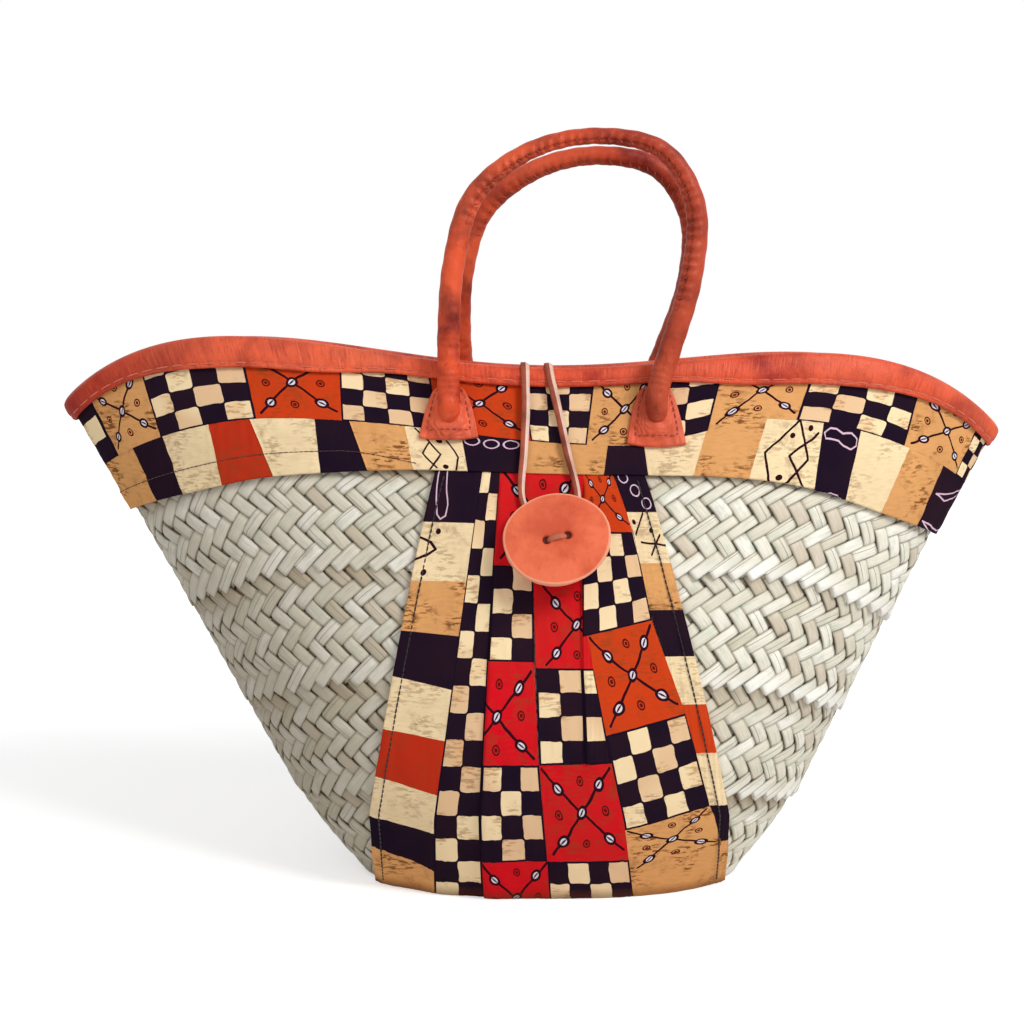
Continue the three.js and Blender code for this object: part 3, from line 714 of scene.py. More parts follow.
def plait_strands(count, crossings, seed, place, fold=None):
    """Ribbons of both directions.

    place(column, crossing, out, inside) gives points on the surface. inside is how far a place lies
    beyond the fold at a strand's lower end, where the strand turns in square to its length.
    """
    rng = np.random.default_rng(seed)
    start = -2.0 if fold is None else fold - 2 * STATION_STEP
    t = np.arange(start, crossings + 1.0 + STATION_STEP, STATION_STEP)
    across = np.array([-0.5, -0.3, 0, 0.3, 0.5, 0.5, 0, -0.5])
    top = np.array([1, 1, 1, 1, 1, 0, 0, 0])
    crown = np.where(top > 0, 1 - (2 * across) ** 2, 0)
    shape = (count, len(t), len(across))
    one_each = (count, 1, 1)

    def layer(first, second):
        return np.stack([np.broadcast_to(first, shape), np.broadcast_to(second, shape)], -1)

    grids = []
    layers = {"leaf": [], "strand": [], "relief": []}
    for direction in (1, -1):
        strand = np.arange(count)[:, None, None]
        first_way = direction > 0
        width = rng.uniform(*STRAND_WIDTHS, one_each) - (0 if first_way else SECOND_WAY_NARROWER)
        drift = rng.normal(0, STRAND_DRIFT, one_each)
        flow = rng.uniform(0, 2 * math.pi, one_each)
        station = t[:, None]
        inside = 0.0
        if fold is not None:
            turn_in = fold + (0 if first_way else SECOND_WAY_FOLD)
            inside = np.maximum(turn_in - station, 0)
            station = np.maximum(station, turn_in)
        delta = across * width + drift + STRAND_SWAY * np.sin(station * 0.9 + flow)
        crossing = station - direction * delta
        column = strand + (delta + direction * station) / 2
        tilt = rng.normal(0, STRAND_TILT, one_each)
        wave = direction * shaped_wave(np.maximum(station, 0.3) + 0.5)
        height = CRIMP * wave + LEAF_THICKNESS * (top - 0.5) + LEAF_CROWN * crown + tilt * across * 2
        grids.append(place(column, crossing, height, inside))
        layers["leaf"].append(layer(station + rng.uniform(0, LEAF_PHASES, one_each), across + 0.5))
        tone = np.clip(rng.normal(TONE_MEAN, TONE_SPREAD, one_each), 0, 1)
        kind = rng.uniform(0, FIRST_WAY_KINDS if first_way else 1, one_each)
        layers["strand"].append(layer(tone, kind))
        layers["relief"].append(layer(wave, (crossing + 0.5) / crossings))
    faces = many_grids((2 * count, len(t), len(across)), wrap_columns=True)
    uvs = {name: np.concatenate(values).reshape(-1, 2) for name, values in layers.items()}
    return np.concatenate(grids).reshape(-1, 3), faces, uvs


def ring_angles_at(share):
    """Plan angle as a function of the share of the way round, at even distances along the ring."""
    angle = np.linspace(-math.pi, math.pi, RING_STATIONS)
    line = wall_point(angle, share, PLAIT_MID_OUT)
    along = np.concatenate([[0], np.cumsum(np.linalg.norm(np.diff(line, axis=0), axis=1))])
    length = along[-1]

    def angle_at(part):
        turns = np.floor(part)
        return np.interp((part - turns) * length, along, angle)

    return angle_at, length


def hung_share(angle, share):
    """The rounds hang a little lower towards the two ends than at the middle."""
    offset = np.maximum(SEAM_RISE - SEAM_DROP * np.cos(angle) ** 2, SEAM_LOWEST)
    return share + offset * 4 * share * (1 - share)


def under_cloth(angle, share):
    """1 where the plait shows and 0 where the panel or the band lies flat over it."""
    x = inner_point(angle, share)[..., 0]
    beside = np.maximum(np.abs(x - PANEL_LEAN_AT_TOP * share) - PANEL_TOP_WIDTH / 2, 0)
    flare = (PANEL_FOOT_WIDTH - PANEL_TOP_WIDTH) / 2 * np.clip(1.25 - 1.5 * share, 0, 1)
    covered = smooth(1 - (beside - flare) / 0.01) * (np.sin(angle) < 0)
    banded = smooth((share - 1 + band_height(angle) / rim_above(angle)) / 0.02)
    return (1 - covered) * (1 - banded)


def plait_round(index):
    """One round of the sewn strip. Its lower edge lies over the upper edge of the round below."""
    low, high = SEAM_SHARES[index : index + 2]
    angle_at, length = ring_angles_at((low + high) / 2)
    columns = round(length / COLUMN_SPACING)
    lowest = -0.2 if index else 0.0
    highest = 1.05 if high < 1 else 1

    def place(column, crossing, height, inside):
        level = np.clip((crossing + 0.5) / ROUND_CROSSINGS, lowest, highest)
        angle = angle_at((column + STRAND_LEAN * crossing) / columns)
        share = hung_share(angle, low + level * (high - low))
        open_wall = under_cloth(angle, share)
        flatter = lerp(LEFT_SEAM_SHARE, 1, smooth((np.cos(angle) + 0.45) / 0.4))
        step = lerp(0.75, 1, smooth((np.abs(np.cos(angle)) - 0.25) / 0.5)) * flatter
        proud = SEAM_PROUD * np.exp(-np.maximum(level, 0) / SEAM_PROUD_REACH)
        recess = SEAM_RECESS * np.exp(-np.maximum(1 - level, 0) / SEAM_RECESS_REACH)
        relief = step * (proud * lerp(0.5, 1, open_wall) - recess * lerp(0.6, 1, open_wall))
        folded = SEAM_FOLD * flatter * smooth(inside / 0.5)
        return wall_point(angle, share, PLAIT_MID_OUT + height + relief - folded)

    fold = FOLD_STATION if index else None
    points, faces, uvs = plait_strands(columns, ROUND_CROSSINGS, ROUND_SEED + index, place, fold)
    piece = make_mesh(f"plaited_strip_{index + 1}", points, faces, uvs, [PALM])
    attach(piece, "basket")
    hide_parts(f"plait_round_{index + 1}")


def plait_base():
    """The flat base: the same plait laid level and cut off where the wall begins."""
    count = int(2 * BASE_REACH / STRAND_WIDTH) + 2
    edge = wall_point(np.linspace(-math.pi, math.pi, 721), 0, BASE_EDGE_OUT)
    edge_turn = np.arctan2(edge[:, 1], edge[:, 0])
    edge_radius = np.hypot(edge[:, 0], edge[:, 1])
    order = np.argsort(edge_turn)

    def place(column, crossing, height, _):
        x = (column - count / 2) * COLUMN_SPACING
        y = (crossing - count / 2) * COLUMN_SPACING / 2
        limit = np.interp(np.arctan2(y, x), edge_turn[order], edge_radius[order], period=2 * math.pi)
        shrink = np.minimum(1, limit / np.maximum(np.hypot(x, y), 1e-6))
        return np.stack([x * shrink, y * shrink, np.broadcast_to(BASE_HEIGHT + height, x.shape)], -1)

    points, faces, uvs = plait_strands(count, count, BASE_SEED, place)
    uvs["relief"][:, 1] = 0.5
    a, b, c, d = np.moveaxis(points[faces], 1, 0)
    size = np.linalg.norm(np.cross(c - a, d - b), axis=1)
    used, renumbered = np.unique(faces[size > SMALLEST_FACE], return_inverse=True)
    uvs = {layer: values[used] for layer, values in uvs.items()}
    piece = make_mesh("plaited_floor", points[used], renumbered.reshape(-1, 4), uvs, [PALM])
    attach(piece, "basket")
    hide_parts("plaited_base")


for round_index in range(len(SEAM_SHARES) - 1):
    plait_round(round_index)
plait_base()

# The printed cloth: every patch is a small grid with its own corner-to-corner coordinates.

INDIGO = colour(29, 16, 34)
CREAM = colour(252, 226, 180)
TAN = colour(230, 168, 106)
ORANGE = colour(214, 66, 24)
RED = colour(222, 18, 34)
BRICK = colour(200, 50, 26)
INK = colour(48, 14, 26)
STREAK = colour(122, 72, 36)
SHELL = colour(226, 218, 228)
CHALK = colour(222, 188, 206)
SEED = colour(96, 22, 18)
# Painted shade along the panel's foot.
FOOT_SHADE = colour(104, 54, 30)
CELL_TINT = colour(226, 176, 134)
CHECK_WOBBLE = 0.16
DRAWN_WOBBLE = 0.05
# The checks' dark frame, in cells.
CHECK_FRAME = 0.085
# The painted shade along the foot is full at the first height and ends at the second.
FOOT_SHADE_FULL = 0.001
FOOT_SHADE_END = 0.008

# Places on a patch run from 0 to 1 across and up.
SHELL_THREADS = (
    ((0.03, 0.97), (0.22, 0.76), (0.5, 0.52), (0.80, 0.24), (0.95, 0.12)),
    ((0.08, 0.08), (0.22, 0.22), (0.5, 0.52), (0.78, 0.8), (0.95, 0.96)),
)
SHELLS = (
    ((0.5, 0.52), 0.9), ((0.22, 0.76), -0.7), ((0.78, 0.8), 0.8), ((0.22, 0.22), 0.7),
    ((0.80, 0.24), -0.6),
)
SEEDS = ((0.2, 0.5), (0.52, 0.84), (0.8, 0.53), (0.5, 0.2))


def stroke(x, y, start, end, width):
    """Mask of a straight line between two places of a patch."""
    dx = end[0] - start[0]
    dy = end[1] - start[1]
    along = ((x - start[0]) * dx + (y - start[1]) * dy) / (dx * dx + dy * dy)
    along = along.most(0.0).least(1.0)
    beside_x = x - start[0] - along * dx
    beside_y = y - start[1] - along * dy
    return (beside_x * beside_x + beside_y * beside_y).root().below(width)


def oval(x, y, centre, long, wide, turn):
    """How far out a place lies from an oval's centre, where 1 is its edge."""
    dx = x - centre[0]
    dy = y - centre[1]
    u = (dx * math.cos(turn) + dy * math.sin(turn)) / long
    v = (dy * math.cos(turn) - dx * math.sin(turn)) / wide
    return (u * u + v * v).root()


def ring(radius, width):
    return (radius - 1.0).magnitude().below(width)


def lines_through(x, y, points, width):
    mask = stroke(x, y, points[0], points[1], width)
    for start, end in zip(points[1:], points[2:]):
        mask = mask.most(stroke(x, y, start, end, width))
    return mask


def shell_cross(x, y):
    """Two crossing threads of shells, and small rings of seeds between them."""
    layers = [(lines_through(x, y, path, 0.015), INK) for path in SHELL_THREADS]
    for centre, turn in SHELLS:
        shell = oval(x, y, centre, 0.084, 0.062, turn)
        slit = oval(x, y, centre, 0.046, 0.010, turn)
        layers += [(shell.below(1.0), INK), (shell.below(0.56), SHELL), (slit.below(1.0), INK)]
    for centre in SEEDS:
        seed = oval(x, y, centre, 0.040, 0.046, 0.3)
        layers += [(ring(seed, 0.22), SEED), (seed.below(0.50), SEED)]
    return layers


def shell_cross_left(x, y):
    """A shell cross whose left arms run under the fold."""
    return shell_cross(x * 0.65 + 0.35, y + 0.05)


def shell_cross_right(x, y):
    """A shell cross whose right arms run under the fold."""
    return shell_cross(x * 0.65 - 0.07, y * 1.1 + 0.05)


def shell_cross_low(x, y):
    """The upper arms of a shell cross that runs on under the foot."""
    return shell_cross(x * 0.9 + 0.05, y * 0.55 + 0.42)


def ring_work(places, long, wide):
    """A motif of tilted oval rings in chalk."""
    def draw(x, y):
        return [(ring(oval(x, y, place, long, wide, 0.6), 0.12), CHALK) for place in places]

    return draw


def line_work(ink, width, paths, dots=(), dot_long=0, dot_wide=0):
    """A motif of lines and upright dots of one ink."""
    def draw(x, y):
        lines = [(lines_through(x, y, path, width), ink) for path in paths]
        return lines + [(oval(x, y, place, dot_long, dot_wide, 0.0).below(1.0), ink) for place in dots]

    return draw


plain = line_work(INK, 0, ())


def checks(x, y):
    """Light cells with soft corners on dark cloth. The patch's coordinates count cells."""
    parity = (x.floor() + y.floor()).modulo(2.0).below(0.5)
    reach = 0.0
    for place in (x, y):
        offset = (place.fraction() - 0.5) * 2.0
        square = offset * offset
        fourth = square * square
        reach = fourth * fourth + reach
    return [(parity * reach.below(1.12), CREAM)]


def dark_checks(x, y):
    """The same cells, one over: dark where the others are light."""
    return checks(x + 1.0, y)


def cloth_material(name, ground, draw, seed):
    """Printed cotton: a ground with dashes like wood grain, the drawn motif, a fine weave and painted
    shade along the foot.
    """
    paint = Paint(f"cloth_{name}", roughness=0.9, specular=0.05)
    x, y, _ = paint.uv("patch")
    wide, high, _ = paint.uv("span")
    place_x, place_y, place_z = paint.place()
    checked = draw in (checks, dark_checks)
    wobble = CHECK_WOBBLE if checked else DRAWN_WOBBLE
    wave_x = paint.noise(place_x, place_y, place_z, scale=95.0, detail=1.0)
    wave_y = paint.noise(place_z, place_x, place_y + 3.0, scale=95.0, detail=1.0)
    motif = draw(x + (wave_x - 0.5) * wobble, y + (wave_y - 0.5) * wobble)
    dashes = paint.noise(
        place_x * 170.0, place_z * 620.0, place_y * 170.0 + seed, detail=3.0, roughness=0.6
    )
    patches = paint.noise(place_x, place_y, place_z + seed, scale=55.0)
    patchy = dashes.between(0.50, 0.57) * patches.between(0.50, 0.60)
    shade = paint.noise(place_x, place_y, place_z, scale=25.0)
    smudge = paint.noise(place_x, place_y, place_z + seed, scale=70.0, detail=4.0, roughness=0.7)
    layers = [(shade.between(0.35, 0.7) * (0.05 if ground == INDIGO else 0.14), STREAK)]
    if ground != INDIGO:
        layers += [
            (smudge.between(0.56, 0.68) * 0.34, STREAK),
            (dashes.between(0.46, 0.60) * 0.08, STREAK),
            (patchy * (0.9 if ground == TAN else 0.35), STREAK),
        ]
    layers += motif
    if checked:
        cell, _ = motif[0]
        column = x.floor() * 7.3 + place_x * 9.0
        tinted = paint.noise(column, y.floor() * 5.1 + place_z * 9.0, detail=0.0)
        inside = x.least(x * -1.0 + wide).least(y.least(y * -1.0 + high))
        layers += [
            (tinted.between(0.52, 0.58) * cell * 0.6, CELL_TINT),
            (patchy * cell * 0.5, STREAK),
            (patches.between(0.56, 0.72) * cell * 0.4, TAN),
            (inside.below(CHECK_FRAME), INDIGO),
        ]
    # Painted shade along the foot, where the cloth meets the floor.
    layers.append((place_z.between(FOOT_SHADE_END, FOOT_SHADE_FULL) * 0.55, FOOT_SHADE))
    paint.layered(ground, layers)
    weave = paint.noise(place_x, place_y, place_z, scale=1400.0, detail=1.0)
    paint.bump(weave * 0.5 + shade * 2.0, 0.0004, 0.35)
    return paint.material


# Each motif's name, ground, drawing and seed.
MOTIFS = (
    ("checks", INDIGO, checks, 0),
    ("dark_checks", INDIGO, dark_checks, 0),
    ("shells_orange", ORANGE, shell_cross, 2),
    ("shells_tan", TAN, shell_cross, 4),
    ("shells_red", RED, shell_cross, 6),
    ("left_shells", RED, shell_cross_left, 6),
    ("right_shells", RED, shell_cross_right, 7),
    ("low_shells", RED, shell_cross_low, 9),
    ("red", RED, plain, 11),
    ("indigo", INDIGO, plain, 8),
    ("cream", CREAM, plain, 10),
    ("tan", TAN, plain, 12),
    ("brick", BRICK, plain, 14),
    ("orange", ORANGE, plain, 15),
    ("loops", INDIGO, ring_work(((0.16, 0.84), (0.48, 0.80), (0.80, 0.83)), 0.13, 0.11), 16),
    ("slant_loops", INDIGO, ring_work(((0.28, 0.82), (0.5, 0.5), (0.72, 0.2)), 0.15, 0.12), 17),
    ("long_loop", INDIGO, line_work(CHALK, 0.013, (
        ((0.08, 0.99), (0.12, 0.7), (0.17, 0.42), (0.26, 0.14), (0.34, 0.06), (0.43, 0.12), (0.44, 0.3),
         (0.34, 0.6), (0.26, 0.99)),
    )), 18),
    ("zigzag", CREAM, line_work(INK, 0.022, (
        ((0.02, 0.74), (0.25, 0.66), (0.36, 0.54), (0.22, 0.44), (0.02, 0.36)),
    ), ((0.34, 0.84), (0.22, 0.14)), 0.05, 0.055), 20),
    ("waves", CREAM, line_work(INK, 0.018, (
        ((0.18, 0.98), (0.4, 0.70), (0.24, 0.42), (0.44, 0.10)),
        ((0.33, 0.82), (0.56, 0.42), (0.3, 0.04)),
        ((0.62, 0.96), (0.88, 0.38), (0.8, 0.04)),
    ), ((0.58, 0.74), (0.62, 0.14)), 0.055, 0.055), 21),
    ("crosses", CREAM, line_work(INK, 0.022, (
        ((0.1, 0.56), (0.5, 0.97)), ((0.22, 0.42), (0.95, 0.34)), ((0.42, 0.16), (0.85, 0.56)),
    ), ((0.14, 0.8), (0.62, 0.64)), 0.06, 0.05), 22),
    ("lozenges", CREAM, line_work(INK, 0.019, (
        ((0.56, 1.0), (0.12, 0.48), (0.30, 0.0)),
        ((0.58, 1.0), (0.82, 0.45), (0.5, 0.0)),
        ((0.93, 0.84), (0.5, 0.46), (0.8, 0.05)),
    ), ((0.78, 0.9), (0.5, 0.76), (0.42, 0.12)), 0.045, 0.045), 24),
    ("waist", INDIGO, line_work(CHALK, 0.013, (
        ((0.06, 0.86), (0.18, 0.94), (0.34, 0.95), (0.54, 0.90), (0.78, 0.93), (0.94, 0.88),
         (0.95, 0.78), (0.82, 0.72), (0.62, 0.74), (0.46, 0.79), (0.26, 0.79), (0.10, 0.78), (0.06, 0.86)),
        ((0.30, 0.0), (0.48, 0.07), (0.70, 0.07), (0.86, 0.0)),
    )), 26),
    ("slivers", INDIGO, line_work(CHALK, 0.012, (
        ((0.10, 0.60), (0.30, 0.66), (0.60, 0.78), (0.95, 0.92), (0.95, 0.84), (0.62, 0.68),
         (0.34, 0.57), (0.10, 0.60)),
        ((0.05, 0.16), (0.30, 0.14), (0.60, 0.10), (0.95, 0.20), (0.92, 0.12), (0.60, 0.02),
         (0.28, 0.05), (0.05, 0.16)),
    )), 27),
)
MOTIF_NAMES = [motif[0] for motif in MOTIFS]
CLOTHS = [cloth_material(*motif) for motif in MOTIFS]
PATCH_GRID = 22


def patchwork(name, surface, patches):
    """One sheet of patches. A patch is a motif, its four corners (u, v) and, for checks, its cells."""
    t = (1 - np.cos(math.pi * np.linspace(0, 1, PATCH_GRID + 1))) / 2
    across, down = np.meshgrid(t, t)
    points = []
    uvs = []
    spans = []
    indices = []
    for motif, corners, *cells in patches:
        columns, rows = cells or (1, 1)
        top_left, top_right, low_right, low_left = np.array(corners, float)
        top = top_left + (top_right - top_left) * across[..., None]
        low = low_left + (low_right - low_left) * across[..., None]
        place = top + (low - top) * down[..., None]
        points.append(surface(place[..., 0], place[..., 1]))
        uvs.append(np.stack([across * columns, (1 - down) * rows], -1))
        spans.append(np.broadcast_to([columns, rows], across.shape + (2,)))
        indices.append(np.full(PATCH_GRID**2, MOTIF_NAMES.index(motif)))
    faces = many_grids((len(patches), PATCH_GRID + 1, PATCH_GRID + 1))[:, ::-1]
    layers = {"patch": np.array(uvs).reshape(-1, 2), "span": np.array(spans).reshape(-1, 2)}
    return make_mesh(name, np.array(points), faces, layers, CLOTHS, np.concatenate(indices))


# The band's two rows of patches, from left to right: where each ends along X in millimetres, its motif
# and, for checks, its cells.

BAND_START = -290
BAND_UPPER = (
    (-264, "dark_checks", 1, 3), (-228, "shells_tan"), (-167, "dark_checks", 4, 4),
    (-117, "shells_orange"), (-66, "checks", 4, 4), (-15, "shells_orange"), (22, "checks", 3, 4),
    (60, "shells_tan"), (92, "checks", 2, 4), (142, "shells_tan"), (209, "checks", 4, 4),
    (254, "shells_tan"), (290, "checks", 3, 4),
)
BAND_LOWER = (
    (-252, "tan"), (-230, "indigo"), (-200, "cream"), (-170, "brick"), (-137, "cream"),
    (-113, "indigo"), (-84, "tan"), (-52, "waves"), (-18, "loops"), (31, "tan"), (55, "indigo"),
    (86, "cream"), (120, "tan"), (158, "lozenges"), (181, "waist"), (212, "cream"), (242, "tan"),
    (290, "slivers"),
)
MM = 0.001
HEM_SHARE = 0.06
HEM_TURN = 0.0016
HEM_FOLD = 0.0008
HEM_FOLD_SHARE = 0.17
BAND_TIP_MARGIN = 0.004
# The height share at which the band's place along X is read.
BAND_READ_SHARE = 0.85
ROW_SPLIT_SHARE = 0.44
ROW_SPLIT_DIP = 0.15
ROW_SPLIT_DIP_X = 0.045
ROW_SPLIT_STEP = 0.08
ROW_SPLIT_STEP_X = 0.08
PATCH_LEAN = 0.0028
PATCH_LEAN_WITHIN = 240


def band_angle(side, x):
    """Plan angle of the band at x. Past the tips it is the tip's own."""
    if abs(x - MOUTH_SHIFT) > MOUTH_HALF_LENGTH - BAND_TIP_MARGIN:
        return side * (math.pi if x < 0 else 0.0)
    return float(wall_place(side, x, RIM_HEIGHT_CENTRE - BAND_HEIGHT_CENTRE / 2)[0])


def row_split(x):
    """Share of the band's height where its two rows of patches meet."""
    reach = np.where(x < ROW_SPLIT_DIP_X, 0.10, 0.035)
    dip = ROW_SPLIT_DIP * np.exp(-(((x - ROW_SPLIT_DIP_X) / reach) ** 2))
    return ROW_SPLIT_SHARE - dip + ROW_SPLIT_STEP * smooth((x - ROW_SPLIT_STEP_X) / 0.04)


def cloth_ripple(u, v, seed):
    """Slight unevenness of sewn cloth, in metres."""
    wave = np.sin(u * 41 + seed) * np.sin(v * 7.3 + u * 13 + seed)
    return CLOTH_RIPPLE * (wave + np.sin(u * 97 + v * 11 + 2 * seed))


def tuck_level(angle):
    """How far up the band's hem fold reaches, as a share of its height. It ends before the middle."""
    return HEM_FOLD_SHARE * smooth((-np.cos(angle) - 0.16) / 0.3)


def band_surface(angle, v):
    """v is 0 at the low edge, 1 where the rows meet and 2 at the top. Below 0 the hem turns in."""
    split = row_split(wall_point(angle, BAND_READ_SHARE, CLOTH_OUT)[..., 0])
    level = np.where(v < 1, np.maximum(v, 0) * split, split + (v - 1) * (1 - split))
    share = share_from_rim(angle, -lerp(band_height(angle), BAND_TOP_MARGIN, level))
    tuck = tuck_level(angle)
    hem = HEM_FOLD * (1 - smooth((level - tuck) / 0.02)) * smooth(tuck / 0.05)
    turned = HEM_TURN * (1 - np.sqrt(np.clip(1 - (v / HEM_SHARE) ** 2, 0, 1))) * (v < 0)
    return wall_point(angle, share, CLOTH_OUT + cloth_ripple(angle * 6, level * 3, 1.0) + hem - turned)


def slant(x):
    """How far a seam between two patches leans, since they are cut by eye."""
    return PATCH_LEAN * math.sin(x * 0.9) * (abs(x) < PATCH_LEAN_WITHIN)


def band_patches():
    patches = []
    for side in (FRONT, BACK):
        for row, low, high in ((BAND_UPPER, 1, 2), (BAND_LOWER, -HEM_SHARE, 1)):
            left = BAND_START
            for right, motif, *cells in row:
                corners = []
                for x, lean, v in ((left, 1, high), (right, 1, high), (right, -1, low), (left, -1, low)):
                    corners.append((band_angle(side, x * MM + lean * slant(x)), v))
                if side == BACK:
                    corners = [corners[i] for i in (1, 0, 3, 2)]
                patches.append((motif, corners, *cells))
                left = right
    return patches


def make_band():
    print_sheet = patchwork("band_print", band_surface, band_patches())
    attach(print_sheet, "basket")
    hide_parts("cloth_band")


# The front panel: fall is 0 under the band and 1 at the foot. across is -1 at its left edge and 1 at
# its right.

PANEL_TOP = -0.012
PANEL_END = 1.03
PANEL_HEM_SHARE = 0.01
PANEL_EDGE = 1 + PANEL_HEM_SHARE
CLOTH_LOWEST = 0.0003
FOOT_LOWEST = WALL_THICKNESS + 0.0002
TURN_DROP = 0.12
TURN_DEPTH = 0.05
PLEAT_SHARPNESS = 0.0005
RIGHT_FOLD_END = 0.62
GATHER_RISE = 0.0009
UNDER_BAND_DEPTH = 0.0015
LEFT_FOLD = -0.385
# The right fold lies here at the foot, and further right under the band.
RIGHT_FOLD = 0.20
RIGHT_FOLD_SHIFT = 0.22
RIGHT_FOLD_REACH = 0.25
# The left column's seam under the band and at the foot.
LEFT_COLUMN = (-0.56, -0.66)


def right_fold(fall):
    return RIGHT_FOLD + RIGHT_FOLD_SHIFT * np.exp(-np.maximum(fall, 0) / RIGHT_FOLD_REACH)


def half_width(fall):
    spread = np.clip(fall / PANEL_SPREAD_SHARE, 0, 1) ** PANEL_FLARE_SHARE
    return lerp(PANEL_TOP_WIDTH, PANEL_FOOT_WIDTH, spread) / 2


def panel_top(x):
    angle, _ = wall_place(FRONT, x, RIM_HEIGHT_CENTRE - BAND_HEIGHT_CENTRE)
    low = share_from_rim(angle, -band_height(angle))
    return inner_point(angle, low)[..., 2]


def fold_step(across, fall, fold):
    """A pleat's folded edge: cloth stands up sharply just right of the fold and sinks back slowly."""
    beside = np.maximum((across - fold) * half_width(fall), 0)
    return PLEAT_RISE * (1 - np.exp(-beside / PLEAT_SHARPNESS)) * np.exp(-beside / PLEAT_FADE)


def panel_lift(across, fall):
    left = fold_step(across, fall, LEFT_FOLD)
    right = fold_step(across, fall, right_fold(fall)) * (1 - smooth((fall - RIGHT_FOLD_END) / 0.1))
    gathers = smooth((fall - 0.7) / 0.3) * np.sin(across * 19 + 0.6) * smooth((0.1 - across) / 0.5)
    from_edge = (1 - np.abs(across)) * half_width(fall)
    hems = HEM_FOLD * smooth((HEM_INSET - from_edge) / 0.001)
    lift = left + right + GATHER_RISE * gathers + hems
    return smooth(fall / 0.05) * lift + cloth_ripple(across * 2.2, fall * 5, 4.0)


def panel_surface(across, fall):
    x = PANEL_LEAN_AT_TOP * (1 - fall) + np.clip(across, -1, 1) * half_width(fall)
    turned = np.clip(fall - 1, 0, None)
    height = lerp(panel_top(x), PANEL_FOOT_HEIGHT, np.minimum(fall, 1)) - turned * TURN_DROP
    under_band = UNDER_BAND_DEPTH * (1 - smooth((fall + 0.005) / 0.02))
    angle, share = wall_place(FRONT, x, np.maximum(height, FOOT_LOWEST))
    beyond = np.clip((np.abs(across) - 1) / PANEL_HEM_SHARE, 0, 1)
    turned_edge = HEM_TURN * (1 - np.sqrt(1 - beyond**2))
    out = CLOTH_OUT + panel_lift(across, fall) - under_band - turned_edge
    points = wall_point(angle, share, out)
    points[..., 2] -= np.maximum(0, FOOT_LOWEST - height)
    points[..., 1] += turned * TURN_DEPTH
    points[..., 2] = np.maximum(points[..., 2], CLOTH_LOWEST)
    return points


def left_column(fall):
    return lerp(*LEFT_COLUMN, fall)


# The patches at the panel's edges: a motif, and falls or places at its top and foot.
LEFT_EDGE_PATCHES = (
    ("long_loop", (PANEL_TOP, PANEL_TOP), (0.117, 0.117)), ("zigzag", (0.117, 0.117), (0.248, 0.248)),
    ("tan", (0.248, 0.248), (0.359, 0.369)), ("indigo", (0.359, 0.369), (0.461, 0.489)),
    ("cream", (0.461, 0.489), (0.582, 0.605)), ("brick", (0.582, 0.605), (0.698, 0.737)),
    ("cream", (0.698, 0.737), (0.803, 0.836)), ("indigo", (0.803, 0.836), (0.885, 0.940)),
    ("tan", (0.885, 0.940), (PANEL_END, PANEL_END)),
)
RIGHT_EDGE_PATCHES = (
    ("slant_loops", (0.69, PANEL_TOP), (0.74, 0.085)), ("crosses", (0.74, 0.085), (0.76, 0.200)),
    ("tan", (0.76, 0.200), (0.76, 0.305)), ("indigo", (0.76, 0.305), (0.80, 0.410)),
    ("cream", (0.80, 0.410), (0.85, 0.520)), ("orange", (0.85, 0.520), (0.877, 0.635)),
    ("cream", (0.877, 0.635), (0.90, 0.770)), ("indigo", (0.90, 0.770), (0.955, 0.870)),
    ("tan", (0.955, 0.870), (0.96, PANEL_END)),
)
MIDDLE_SEAM = 0.038
MIDDLE_SEAM_FROM = 0.362
MIDDLE_SEAM_SLOPE = 0.27


def middle_seam(fall):
    """Where the patches right of the fold meet those that slant away to the right."""
    return right_fold(MIDDLE_SEAM_FROM) + MIDDLE_SEAM + MIDDLE_SEAM_SLOPE * (fall - MIDDLE_SEAM_FROM)


